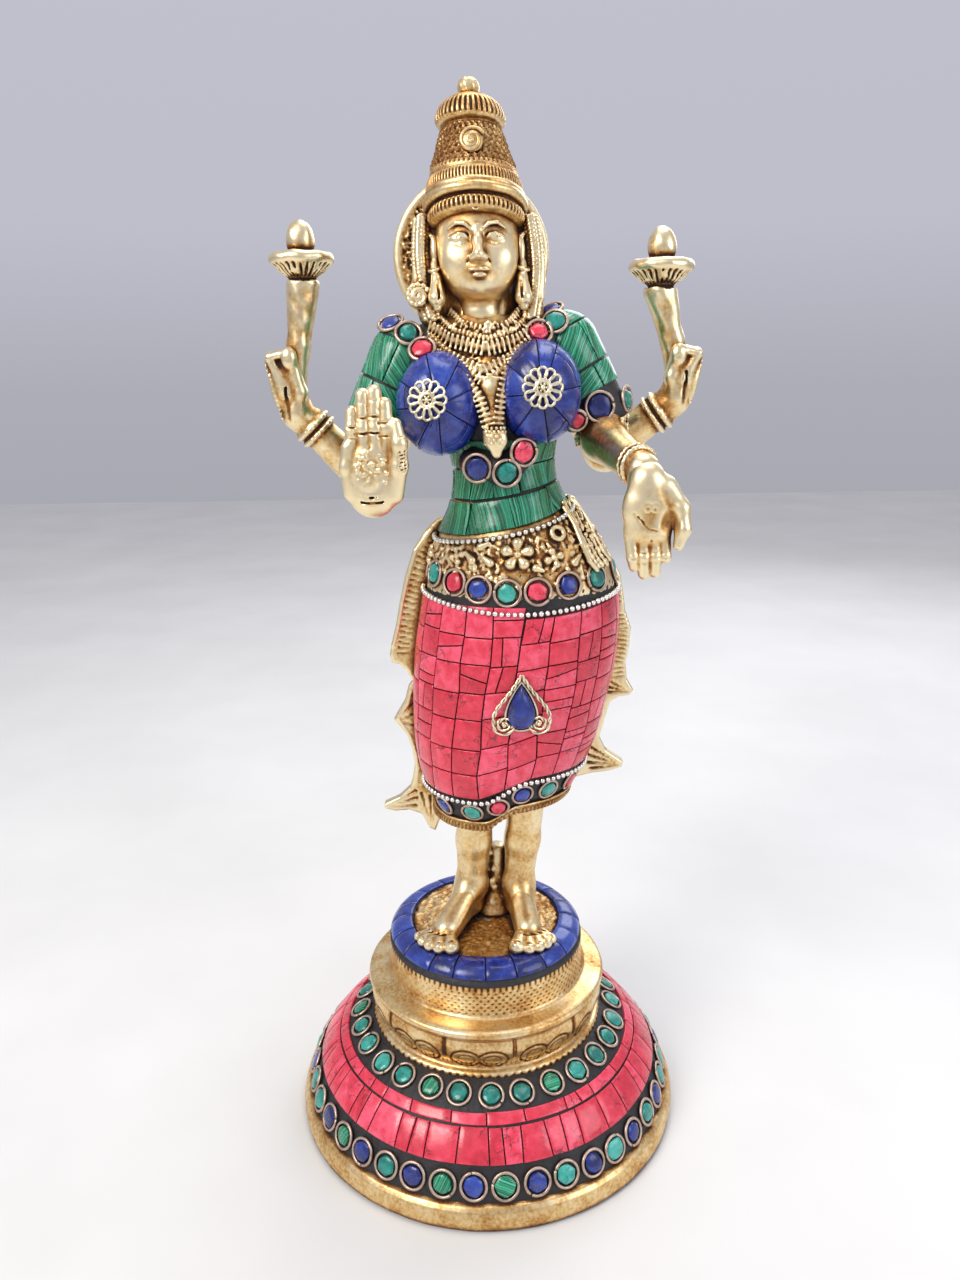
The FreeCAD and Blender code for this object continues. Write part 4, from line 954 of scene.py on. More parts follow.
def trunk(angle, rise, lift=0.0):
    cx, a, b = (float(np.interp(rise, FINE, line)) for line in SECTIONS)
    c, s = math.cos(math.radians(angle)), math.sin(math.radians(angle))
    a, b = a + 2.2, b + 2.2
    x, y = cx + a * c, b * s
    gap = ((x - KNEE[0]) / 15.0) ** 2 + ((rise - KNEE[2]) / 21.0) ** 2
    if s < 0:
        lift += 3.2 * math.exp(-gap) * min(1.0, -s * 1.4)
    n = unit((c / a, s / b, 0))
    return np.array([x, y, FLOOR + rise]) + n * lift


def trunk_spot(angle, rise, lift=0.0):
    at = trunk(angle, rise, lift)
    e = np.cross(trunk(angle + 1.5, rise) - trunk(angle - 1.5, rise),
                 trunk(angle, rise + 1.2) - trunk(angle, rise - 1.2))
    return at, unit(e)


def step(x):
    x = min(1.0, max(0.0, x))
    return x * x * (3 - 2 * x)


def trunk_rows(stops, thinner=lambda rise: 0.0):
    """Rows for Clay.loft that follow the trunk, just inside its surface."""
    rows = []
    for r in stops:
        cx, a, b = (float(hermite(rises, line, np.array(r))) for line in LINES)
        rows.append((FLOOR + r, cx, 0.0, a + 1.2, b + 1.2 - thinner(r)))
    return rows


def hem_line(angle):
    """Lower edge of the coral tiles: higher on the figure's left."""
    x = trunk(angle, 55.0)[0]
    return 53.2 + 6.4 * step((x + 0.5) / 13.0)


def coral_line(angle):
    """Lower edge of the belt: it dips at the front."""
    return 114.0 + 3.4 * (1 - math.exp(-((angle + 92) / 52.0) ** 2))


def bodice_line(angle):
    c, s = math.cos(math.radians(angle)), math.sin(math.radians(angle))
    return 137.4 + 4.6 * c + 1.2 * (1 + s)


def girth_angles(count, rise, start=FRONT):
    steps = [trunk(start + k, rise) for k in range(361)]
    lengths = np.concatenate(([0], np.cumsum([np.linalg.norm(b - a) for a, b in zip(steps, steps[1:])])))
    return [float(np.interp(lengths[-1] * k / count, lengths, start + np.arange(361)))
            for k in range(count + 1)]


def trunk_band(low, high, columns, rows, lift, wobble=0.0):
    """Grid of points between two edges, which are functions of the angle."""
    pts = []
    for r in range(rows + 1):
        for k in range(columns):
            angle = FULL_TURN * k / columns
            lo, hi = low(angle), high(angle)
            rise = lo + (hi - lo) * r / rows
            pts.append(trunk(angle, rise, lift + wobble * math.sin(angle * 0.7 + rise * 2.1)
                             * math.sin(rise * 1.7 - angle * 0.31)))
    return np.array(pts), rings_to_faces(columns, rows + 1)


points, quads = trunk_band(lambda a: hem_line(a) - 8.6, bodice_line, 200, 90, -1.05, 0.10)
build("skirt_bed", points, [quads], MASTIC, ("skirt_mastic",))
points, quads = trunk_band(lambda a: hem_line(a) - 9.6, lambda a: 198.0, 120, 60, -3.0)
build("skirt_under_casting", points, [quads], BRASS, ("skirt_core",))

heap, columns, tile_rows = Heap(), 20, 7
edges = girth_angles(columns, 92.0)
lean = [[chance.uniform(-1.4, 1.4) for _ in range(tile_rows + 1)] for _ in range(columns)]
drift = [[chance.uniform(-0.75, 0.75) if 0 < r < tile_rows else 0.0 for r in range(tile_rows + 1)]
         for _ in range(columns)]


def skirt_rise(angle, share):
    lo, hi = hem_line(angle) + 1.3, coral_line(angle) - 1.3
    return lo + (hi - lo) * share


for c in range(columns):
    n = (c + 1) % columns
    for r in range(tile_rows):
        a0, a1 = edges[c] + lean[c][r], edges[c] + lean[c][r + 1]
        b0, b1 = edges[c + 1] + lean[n][r], edges[c + 1] + lean[n][r + 1]
        tilt = chance.uniform(-0.5, 0.5)
        low_a, low_b = (skirt_rise(v, r / tile_rows) + drift[c][r] for v in (a0, b0))
        top_a, top_b = (skirt_rise(v, (r + 1) / tile_rows) + drift[c][r + 1] for v in (a1, b1))
        corners = [(a0, low_a), (b0, low_b), (b1, top_b), (a1, top_a)]
        luck = chance.random()
        if luck < 0.10:
            f, g = chance.uniform(0.35, 0.65), chance.uniform(0.35, 0.65)
            m0 = (a0 + (b0 - a0) * f, low_a + (low_b - low_a) * f)
            m1 = (a1 + (b1 - a1) * g, top_a + (top_b - top_a) * g)
            parts = [[corners[0], m0, m1, corners[3]], [m0, corners[1], corners[2], m1]]
        elif luck < 0.24:
            f, g = chance.uniform(0.3, 0.7), chance.uniform(0.3, 0.7)
            m0 = (a0 + (a1 - a0) * f, low_a + (top_a - low_a) * f)
            m1 = (b0 + (b1 - b0) * g, low_b + (top_b - low_b) * g)
            parts = [[corners[0], corners[1], m1, m0], [m0, m1, corners[2], corners[3]]]
        else:
            parts = [corners]
        for part in parts:
            add_tile(heap, part, trunk_spot, 0.0, -1.0, 0.34, 0.20, 4 if len(parts) == 1 else 3)
heap.piece("skirt_coral", CORAL, "coral", ("skirt_coral_tiles",), sharp=40)

beads, skirt_rings = Heap(), Heap()
skirt_stones = {"coral": Heap(), "lapis": Heap(), "turquoise": Heap()}


def string_of_beads(line, lift):
    count, radius, pitch = 400, 0.86, 1.92
    path = np.array([trunk(FULL_TURN * k / count,
                           line(FULL_TURN * k / count - (360 if k > count // 2 else 0)), lift)
                     for k in range(count + 1)])
    lengths = np.concatenate(([0], np.cumsum(np.linalg.norm(np.diff(path, axis=0), axis=1))))
    total = int(lengths[-1] / pitch)
    for k in range(total):
        at = [float(np.interp(lengths[-1] * k / total, lengths, path[:, j])) for j in range(3)]
        add_bead(beads, at, radius * chance.uniform(0.94, 1.05), chance.random(), sides=8, rows=5)


def angle_at(x, rise):
    """Angle at the front of the trunk whose point has this x."""
    options = np.linspace(-178, -2, 177)
    xs = [trunk(v, rise)[0] for v in options]
    return float(np.interp(x, xs, options))


string_of_beads(coral_line, 0.15)
string_of_beads(hem_line, 0.15)
string_of_beads(lambda a: bodice_line(a) - 0.4, 0.3)
spots = [(angle_at(-14.8, 122.0), 123.4, "turquoise"), (angle_at(-8.4, 121.0), 122.2, "coral"),
         (angle_at(-0.9, 121.0), 120.8, "lapis"),
         (angle_at(7.7, 120.0), 120.1, "turquoise"), (angle_at(16.8, 120.0), 120.4, "coral"),
         (angle_at(26.3, 121.0), 121.6, "lapis"), (angle_at(35.4, 122.0), 122.6, "turquoise")]
spots += [(18.0 + 21.6 * k, 123.0, ("coral", "lapis", "turquoise")[k % 3]) for k in range(-1, 8)]
for angle, rise, kind in spots:
    at, normal = trunk_spot(angle, rise, -0.75)
    place_stone(skirt_stones[kind], skirt_rings, at, normal, 3.9, 0.50, 3.05, 1.1)
hem = ((-13.4, "lapis"), (-4.0, "turquoise"), (4.4, "coral"), (11.2, "lapis"), (19.0, "turquoise"),
       (26.0, "coral"))
hem_spots = [(angle_at(x, 50.0), kind) for x, kind in hem]
hem_spots += [(20.0 + 25.0 * k, ("lapis", "turquoise", "coral")[k % 3]) for k in range(-1, 7)]
for angle, kind in hem_spots:
    at, normal = trunk_spot(angle, hem_line(angle) - 4.5, -0.75)
    place_stone(skirt_stones[kind], skirt_rings, at, normal, 3.3, 0.48, 2.75, 1.0)
beads.piece("bead_rows", SILVER, "silver_bead", ("bead_strings",))
skirt_rings.piece("skirt_rings", BEZEL, "bezel_wire", ("skirt_bezels",))
for kind, material in (("coral", CORAL), ("lapis", LAPIS), ("turquoise", TURQUOISE)):
    skirt_stones[kind].piece(f"skirt_{kind}_set", material, kind, (f"skirt_{kind}_stones",), sharp=32)

# Teardrop cabochon, with a frame of twisted wire that curls up at both sides.
spot, facing = trunk_spot(angle_at(11.6, 86.0), 86.0, 0.1)
side, up, facing = frame_of(facing)
if side[0] < 0:
    side, up = -side, -up


def on_drop(x, y, h):
    return spot + side * x + up * y + facing * h


outline = []
for k in range(40):
    t = TAU * k / 40
    w = 4.3 * math.sin(t) * (1 - 0.36 * math.cos(t)) * (0.62 + 0.38
                                                        * math.sqrt(max(0.0, (1 - math.cos(t)) / 2)))
    outline.append((w, -0.2 + 6.6 * math.cos(t) + (0.6 if k in (0, 1, 39) else 0)))
heap = Heap()
pts = []
levels = ((1.0, -0.5), (1.0, 0.9), (0.95, 1.6), (0.82, 2.3), (0.6, 2.85), (0.32, 3.15), (0.08, 3.25))
for scale, h in levels:
    pts += [on_drop(x * scale, (y + 1.2) * scale - 1.2, h) for x, y in outline]
heap.add(pts, rings_to_faces(40, len(levels))[:, ::-1], [], 0.35)
a = np.arange(38)
base_ring = (len(levels) - 1) * 40
heap.tris.append(np.stack([np.full(38, base_ring), base_ring + a + 2, base_ring + a + 1], axis=1))
heap.piece("teardrop_stone", LAPIS, "lapis", ("teardrop_cabochon",), sharp=60)
heap = Heap()
for sign in (1, -1):
    path = [(0.0, 10.3), (0.9, 8.7), (2.6, 6.0), (4.8, 3.2), (7.2, 0.2), (8.5, -2.6), (8.4, -5.0)]
    curl_x, curl_y = 5.2, -5.4
    for k in range(1, 30):
        a, r = -0.05 - k * 0.42, 3.3 - k * 0.092
        path.append((curl_x + r * math.cos(a), curl_y + r * math.sin(a)))
    p = smooth_profile(path, 0.35, 2)
    for strand in (0, 1):
        twist = [strand * math.pi + k * 0.42 for k in range(len(p))]
        add_tube(heap, [on_drop(sign * (x + 0.34 * math.cos(w)), y + 0.1 * math.cos(w),
                                1.0 + 0.34 * math.sin(w))
                        for (x, y), w in zip(p, twist)], 0.36, 6)
    rim_path = smooth_profile([(x * 1.13, (y + 1.2) * 1.12 - 1.2) for x, y in outline[:21]], 0.4, 1)
    add_tube(heap, [on_drop(sign * x, y, 0.5) for x, y in rim_path], 0.42, 6)
    add_bead(heap, on_drop(sign * curl_x, curl_y, 1.0), 0.75)
heap.piece("teardrop_frame", GILT, "gilt_wire", ("teardrop_wire",))


# --- Legs, cuffs, girdle and side drapery ---
def leg(clay, knee, ankle, heel, ball_of_foot, toes):
    clay.path([knee, ((knee[0] * 0.5 + ankle[0] * 0.5), knee[1] * 0.5 + ankle[1] * 0.5 + 0.6,
                      (knee[2] + ankle[2]) / 2), ankle],
              [6.2, 5.9, 4.9], 2.0)
    clay.rod(ankle, heel, 4.9, 4.6, 3.0)
    clay.rod(heel, ball_of_foot, 4.3, 3.6, 2.5)
    clay.rod(ankle, ball_of_foot, 4.4, 3.6, 3.5)
    clay.ball((ankle[0] - 4.2, ankle[1] + 0.6, ankle[2] - 3.0), 1.7, 1.4)
    clay.ball((ankle[0] + 4.2, ankle[1] + 0.6, ankle[2] - 2.4), 1.7, 1.4)
    for x, y, r in toes:
        root = (ball_of_foot[0] + (x - ball_of_foot[0]) * 0.45,
                ball_of_foot[1] + (y - ball_of_foot[1]) * 0.15, FLOOR + 3.2)
        clay.rod(root, (x, y, FLOOR + r * 0.95), r * 0.9, r, 0.8)
        clay.ball((x, y, FLOOR + r), (r * 1.05, r * 1.15, r * 0.9), 0.5)
        ahead = unit((x - root[0], y - root[1], 0))
        nail = np.array([x, y, FLOOR + r * 1.9]) + ahead * r * 0.55
        clay.ball(nail, (r * 0.62, r * 0.62, r * 0.35), 0.2, "cut")
        clay.ball(nail - np.array([0, 0, r * 0.3]), (r * 0.5, r * 0.5, r * 0.3), 0.2)
        mid = np.array(root) * 0.45 + np.array([x, y, FLOOR + r]) * 0.55
        clay.rod(mid + np.array([-r * 0.8, 0, r * 0.9]), mid + np.array([r * 0.8, 0, r * 0.9]), 0.28, k=0.2,
                 mode="cut")
    clay.put((-40, -40, FLOOR - 9), (40, 40, FLOOR), lambda x, y, z: z - FLOOR, 0.3, "cut")


legs = Clay((-30, -30, FLOOR - 1), (2.5, 12, FLOOR + 52), 0.36)
leg(legs, (-2.6, -1.5, FLOOR + 46), (-4.4, 1.0, FLOOR + 12.5), (-5.2, 2.4, FLOOR + 4.4),
    (-13.0, -14.0, FLOOR + 3.4),
    [(-11.2, -22.4, 2.5), (-15.2, -22.0, 2.1), (-18.3, -20.4, 1.95), (-20.6, -18.0, 1.8),
     (-22.0, -15.2, 1.65)])
legs.piece("leg_right", BRASS, "cast_brass", ("right_leg",))
legs = Clay((3.0, -30, FLOOR - 1), (26, 12, FLOOR + 52), 0.36)
leg(legs, (14.4, -1.0, FLOOR + 46), (11.6, 1.0, FLOOR + 12.0), (11.4, 2.4, FLOOR + 4.4),
    (14.2, -14.0, FLOOR + 3.4),
    [(10.2, -22.6, 2.5), (14.0, -23.0, 2.1), (17.2, -22.0, 1.95), (19.8, -20.2, 1.8), (21.6, -17.6, 1.65)])
legs.piece("leg_left", BRASS, "cast_brass", ("left_leg",))
lump = Clay((-8, -8, FLOOR - 1), (14, 13, FLOOR + 28), 0.5)
lump.loft([(FLOOR, 3.2, 3.6, 6.4, 5.8), (FLOOR + 8, 3.6, 4.6, 4.6, 4.6), (FLOOR + 18, 4.2, 5.0, 3.4, 4.0),
           (FLOOR + 25, 4.4, 5.0, 2.6, 3.0)])
for _ in range(60):
    h = chance.uniform(1, 23)
    a = chance.uniform(0, 6.28)
    w = 5.4 - h * 0.11
    lump.ball((3.6 + w * math.cos(a), 4.4 + w * 0.9 * math.sin(a), FLOOR + h), chance.uniform(0.7, 1.5), 0.8)
lump.put((-40, -40, FLOOR - 9), (40, 40, FLOOR), lambda x, y, z: z - FLOOR, 0.2, "cut")
lump.piece("ankle_lump", ROUGH_BRASS, "rough_brass", ("ankle_web",))

# Hem cuff: a ribbed band under the hem stones, closed underneath towards the legs.
rows = [(-8.3, -1.2), (-8.4, 0.2), (-8.9, 0.55), (-9.5, 0.2), (-9.8, 0.5), (-10.6, 0.75), (-11.6, 0.5),
        (-12.2, -0.4), (-12.3, -2.0),
        (-11.6, -4.0), (-10.4, -7.0), (-9.6, -10.5)]
fine = smooth_profile(rows, 0.4, 1)
pts = []
for drop, lift in fine:
    for k in range(CUFF_STEPS):
        angle = FULL_TURN * k / CUFF_STEPS
        fold = angle - 360 if angle > 180 else angle
        wide = 1.0 if drop < -9.7 and lift > -1.5 else 0.0
        rib = 0.40 * wide * math.sin(angle * 1.05 * math.pi / 1.8)
        pts.append(trunk(angle, max(hem_line(fold) + drop, 40.0), lift - 0.3 + rib))
heap = Heap()
heap.add(pts, rings_to_faces(CUFF_STEPS, len(fine))[:, ::-1])
heap.piece("hem_cuff_band", RELIEF_BRASS, "cast_brass", ("hem_cuffs",))


def on_front(x, rise, lift=0.0):
    return trunk_spot(angle_at(x, rise), rise, lift)


girdle = Clay((-22, -28, FLOOR + 116), (44, 28, FLOOR + 148), 0.36)
girdle.loft(trunk_rows((117, 121, 126, 131, 136, 141, 146)))
for _ in range(520):
    angle = chance.uniform(-180, 180)
    top = bodice_line(angle) - 1.6
    rise = chance.uniform(coral_line(angle) + 7.5, top)
    at = trunk(angle, rise, chance.uniform(-1.5, -0.7))
    turn, length = chance.uniform(0, 6.28), chance.uniform(0.6, 2.0)
    other = trunk(angle + length * 2.0 * math.cos(turn), rise + length * math.sin(turn), -1.0)
    girdle.rod(at, other, chance.uniform(0.5, 0.85), chance.uniform(0.35, 0.6), 0.25)


def flower(clay, at, normal, petals, reach, size):
    side, up, normal = frame_of(normal)
    for k in range(petals):
        a = TAU * k / petals + 0.3
        away = math.cos(a) * side + math.sin(a) * up
        clay.rod(at + away * reach * 0.35, at + away * reach, size * 0.6, size, 0.3)
    clay.ball(at + normal * size * 0.5, size * 0.62, 0.15)


for x, rise, petals, reach, size in ((10.8, 131.1, 5, 3.3, 1.75), (21.7, 129.8, 4, 2.0, 1.25),
                                     (-15.5, 128.0, 5, 2.2, 1.2),
                                     (-7.0, 130.0, 4, 1.8, 1.1)):
    at, normal = on_front(x, rise, -0.4)
    flower(girdle, at, normal, petals, reach, size)
at, normal = on_front(22.8, 136.6, 0.1)
girdle.ring(at, normal, 1.9, 0.75, 0.2)
for x, rise, dx, dz in ((0, 133.0, 2.6, 1.2), (2.8, 128.6, -2.2, 1.6), (-2.6, 129.0, -1.8, 2.2),
                        (16.2, 127.2, 2.2, -0.8), (28.0, 128.0, 1.6, 1.8)):
    at, normal = on_front(x, rise, -0.5)
    other, _ = on_front(x + dx, rise + dz, -0.3)
    girdle.rod(at, other, 1.3, 0.6, 0.2)
strap = [(26.4, 144.0), (29.0, 139.5), (31.6, 134.0), (34.0, 129.0), (36.4, 126.0)]
for offset in (-2.3, 2.6):
    girdle.path([trunk(angle_at(x + offset, r), r + offset * 0.4, 0.6) for x, r in strap], 0.75, 0.3)
for x, r in smooth_profile(strap, 0.9, 1):
    for offset in (-1.3, 0.1, 1.5):
        girdle.ball(tuple(trunk(angle_at(x + offset, r), r + chance.uniform(-0.4, 0.4), 0.3)),
                    chance.uniform(0.6, 1.0), 0.2)
girdle.piece("girdle_relief", RELIEF_BRASS, "cast_brass", ("girdle",))


def ticks(clay, path, y, half, pitch, inward, length, depth=0.55):
    """Short cuts across both faces of a plate, along a path of (x, z) points."""
    p = sample_profile(path, pitch)
    for a, b in zip(p, p[1:]):
        along = unit(b - a)
        across = np.array([-along[1], along[0]]) * inward
        for face in (-half, half):
            start = np.array([a[0] + across[0] * 0.4, y + face, a[1] + across[1] * 0.4])
            end = start + np.array([across[0], 0, across[1]]) * length
            clay.rod(start, end, depth, depth * 0.8, 0.15, "cut")


def fin_cuts(clay, y, half, size, fans):
    """Cuts on both faces of a plate, from each root towards its fin's tip."""
    for tip, roots in fans:
        for rx, rz in roots:
            for face in (-half, half):
                end = (tip[0] * 0.92 + rx * 0.08, y + face, tip[1] * 0.92 + rz * 0.08)
                clay.rod((rx, y + face, rz), end, size, size / 2, 0.2, "cut")


def edge_roll(clay, path, y, half, size=0.75):
    for face in (-half, half):
        clay.path([(x, y + face, z) for x, z in path], size, 0.3)


sash = Clay((-32, -2, 150), (-4, 12, 212), 0.36)
outline = [(-9, 207.6), (-13.2, 206.4), (-17.5, 202.2), (-21.0, 196.8), (-23.8, 188.5), (-25.8, 180),
           (-27.4, 172), (-28.9, 166.5),
           (-29.8, 162.0), (-29.0, 159.6), (-26.6, 159.0), (-24.4, 156.8), (-22.6, 153.2), (-19.0, 152.6),
           (-17, 166), (-16.4, 180), (-12, 195)]
sash.slab(outline, 4.0, 1.9, 0.9)
edge_roll(sash, [(-15.0, 203.0), (-20.2, 196.4), (-23.0, 188.0), (-25.0, 180), (-26.6, 172), (-28.4, 165.5)],
          4.0, 1.5)
ticks(sash, [(-14.4, 200.4), (-18.8, 194.4), (-21.4, 187.0), (-23.3, 180), (-24.9, 172), (-26.4, 165),
             (-26.4, 161)], 4.0, 2.2, 2.3, -1, -3.4)
sash.piece("sash_figure_right", BRASS, "cast_brass", ("sash_right",))

fins = Clay((-36, -2, 96), (-9, 12, 157), 0.36)
outline = [(-16, 156), (-21.5, 154.6), (-24.2, 151.0), (-25.6, 146.0), (-29.4, 139.6), (-27.4, 137.2),
           (-25.0, 133.6), (-23.6, 129),
           (-22.9, 124), (-23.8, 118.6), (-24.8, 115.2), (-28.6, 111.6), (-33.8, 109.2), (-33.6, 107.4),
           (-30.2, 106.4), (-25.4, 106.8),
           (-21.2, 105.2), (-19.0, 100.2), (-16.6, 98.8), (-14.6, 104), (-15, 118), (-17, 134)]
fins.slab(outline, 5.0, 1.9, 0.9)
fin_cuts(fins, 5.0, 2.1, 0.6, (((-28.6, 139.6), [(-21, 147), (-20.5, 142), (-21, 137)]),
                               ((-33.0, 108.4), [(-23, 114), (-22.5, 111.4), (-23, 108.6)]),
                   ((-18.0, 100.0), [(-21, 113), (-18, 112), (-16, 110)])))
edge_roll(fins, [(-20.5, 153), (-23.2, 149.6), (-24.4, 145.4), (-27.8, 140.2), (-24.2, 134), (-22.4, 128),
                 (-21.9, 122), (-22.8, 117)], 5.0, 1.5, 0.6)
fins.piece("pleats_figure_right", BRASS, "cast_brass", ("pleats_right",))

strand = Clay((22, -2, 172), (52, 12, 216), 0.40)
outline = [(24, 213.8), (29.6, 212.4), (34.0, 206.0), (38.0, 200), (41.6, 193.6), (44.6, 187.4),
           (45.8, 180.0), (46.6, 174.4), (40, 174.6), (38, 190), (30, 204)]
strand.slab(outline, 4.6, 2.2, 1.0)
ticks(strand, [(30.0, 211.0), (34.4, 204.2), (38.4, 198), (42.0, 191.6), (44.6, 185.4), (45.8, 178.0)], 4.6,
      2.4, 1.7, -1, 4.0, 0.5)
strand.piece("sash_figure_left", RELIEF_BRASS, "cast_brass", ("sash_left",))

fins = Clay((16, -2, 110), (53, 12, 178), 0.40)
outline = [(40, 177), (46.4, 176), (48.4, 170), (48.0, 164.0), (47.0, 158), (47.6, 152.6), (49.8, 148.8),
           (48.6, 147.0), (45.0, 146.6),
           (42.2, 144.8), (40.6, 139), (38.9, 132.6), (41.2, 127.8), (47.0, 123.6), (46.8, 121.6),
           (42.4, 120.2), (36, 119.4), (30.0, 117.8),
           (25.4, 114.2), (21, 116), (22, 130), (30, 150), (36, 168)]
fins.slab(outline, 4.8, 2.1, 1.0)
ticks(fins, [(47.0, 175), (48.0, 169), (47.4, 163.0), (46.4, 157), (47.0, 152.6)], 4.8, 2.4, 1.8, -1, 4.4,
      0.5)
fin_cuts(fins, 4.8, 2.3, 0.7, (((48.8, 148.4), [(40, 153), (39.4, 150.6), (39.8, 148.4)]),
                               ((46.2, 122.6), [(36, 129), (35, 126.4), (35, 123.6), (36, 121.4)]),
                   ((25.6, 115.4), [(28, 124), (25, 125), (31, 122)])))
fins.piece("pleats_figure_left", RELIEF_BRASS, "cast_brass", ("pleats_left",))


# --- Upper body ---
BUSTS = {"right": (np.array([-11.0, -12.6, 241.8]), np.array([12.3, 13.2, 14.8])),
         "left": (np.array([17.4, -12.6, 244.6]), np.array([12.2, 13.2, 14.6]))}
SLEEVE = {"right": (np.array([-21.5, 1.0, 254.4]), 10.5, np.array([-31.9, -1.0, 233.8]), 9.0),
          "left": (np.array([25.6, 1.0, 257.0]), 10.6, np.array([36.8, -1.0, 238.4]), 8.7)}

SIGHT = unit(np.array([0.0, 0.96, -0.28]))


def body_gap(p):
    """Rough distance from a point to the shoulders, the chest and the busts."""
    gaps = []
    for a, ra, b, rb in SLEEVE.values():
        t = float(np.clip(np.dot(p - a, b - a) / np.dot(b - a, b - a), 0, 1))
        gaps.append(float(np.linalg.norm(p - a - (b - a) * t)) - (ra + (rb - ra) * t))
    for c, r in list(BUSTS.values()) + [(np.array([3.0, -2.0, 257.0]), np.array([18.5, 10.4, 8.4]))]:
        gaps.append((float(np.linalg.norm((p - c) / r)) - 1.0) * float(min(r)))
    return min(gaps)


def seated(at, out=0.0, turn=0.75):
    """Slides a point along the line of sight until it lies on the body, with the way out from there."""
    p = np.array(at, dtype=float) - SIGHT * 12.0
    for _ in range(300):
        if body_gap(p) < 0.35:
            break
        p = p + SIGHT * 0.1
    way = np.array([body_gap(p + e) - body_gap(p - e) for e in np.eye(3) * 3.0])
    return p - SIGHT * out, unit(unit(way) * turn - SIGHT * (1.0 - turn))


SHOULDER_STONES = [(*seated(at, *more), kind) for at, kind, *more in (
    ((-24.8, -4.0, 264.4), "lapis"), ((-19.6, -9.0, 261.6), "green"),
    ((-15.4, -12.0, 256.2), "coral", 2.4, 0.3),
    ((21.6, -3.0, 267.6), "lapis"), ((22.4, -7.0, 263.6), "green"),
    ((17.6, -10.0, 260.8), "coral", 2.4, 0.3))]
torso = Clay((-36, -28, 200), (46, 22, 272), 0.45)
torso.loft(trunk_rows((136, 142, 150, 158, 166, 174, 182, 189, 194, 198),
                      lambda r: 3.2 * step((r - 172) / 10)))
for side in ("right", "left"):
    c, r = BUSTS[side]
    torso.ball(c, [float(v) - 0.8 for v in r], 1.5)
    a, ra, b, rb = SLEEVE[side]
    torso.rod(a, b, ra - 0.8, rb - 0.8, 3.0)
for at, normal, kind in SHOULDER_STONES:
    torso.ball(at - normal * 3.3, 3.9, 2.5)
torso.path([(-2.0, -13.6, 225.0), (7.6, -15.2, 222.8), (13.2, -15.0, 227.4)], [3.9, 3.7, 3.6], 3.0)
for x, y, z, r in ((27.8, -8.6, 236.4, 3.6), (34.8, -6.6, 239.4, 3.6), (40.4, -1.8, 241.2, 3.2)):
    torso.ball((x, y, z), r, 2.0)
torso.piece("bodice_bed", MASTIC, "mastic", ("bodice_mastic",), cavity=0.3)

chest = Clay((-26, -27, 224), (32, 22, 282), 0.34)
chest.loft([(252, 3.2, -1.0, 12, 9), (258, 3.0, -1.0, 15, 10.5), (262, 2.8, -0.6, 13, 9.4),
            (266, 2.6, -0.6, 7.4, 7.0), (270, 2.6, -0.8, 6.3, 6.3),
            (280, 2.0, -1.4, 6.2, 6.2)])
chest.ball((3.0, -3.0, 257.0), (17.0, 10.6, 8.6), 2.0)
chest.path([(3.6, -9.5, 254.0), (4.0, -15.5, 246.0), (4.6, -17.4, 238.0), (5.0, -17.6, 231.0)],
           [5.0, 4.0, 3.1, 2.6], 1.5)
chest.loft([(208, 1, 3, 5, 5), (262, 3, 3, 18, 9.5)], 1.0)
for x in (-8, 15):
    chest.ball((x, 3.5, 262), (9.5, 6.5, 4.0), 2.5)
for z in (267.6, 270.4):
    chest.ring((2.6, -0.8, z), (0, -0.1, 1), 6.5, 0.25, 0.2, "cut")


def garland(clay, path, pitch, across, along):
    """Ribs laid across a path: a stamped chain of leaves."""
    p = smooth_profile(path, 0.5, 3)
    gaps = np.concatenate(([0], np.cumsum(np.linalg.norm(np.diff(p, axis=0), axis=1))))
    count = max(2, int(gaps[-1] / pitch))
    inner = [tuple(q - unit((q[0] - 3.0, q[1] - 2.0, 2.0)) * (across * 0.95 + 0.1)) for q in p[::3]]
    clay.path(inner, across * 0.95, 0.5)
    for k in range(count + 1):
        at = np.array([float(np.interp(gaps[-1] * k / count, gaps, p[:, j])) for j in range(3)])
        nxt = np.array([float(np.interp(gaps[-1] * min(1.0, (k + 0.4) / count), gaps, p[:, j]))
                        for j in range(3)])
        ahead = unit(nxt - at) if k < count else ahead
        out = unit((at[0] - 3.0, at[1] - 2.0, 2.0))
        wing = unit(np.cross(ahead, out))
        clay.rod(at - wing * across, at + wing * across, along, along * 0.8, 0.12)
        clay.ball(tuple(at + wing * (across + along)), along * 1.1, 0.1)


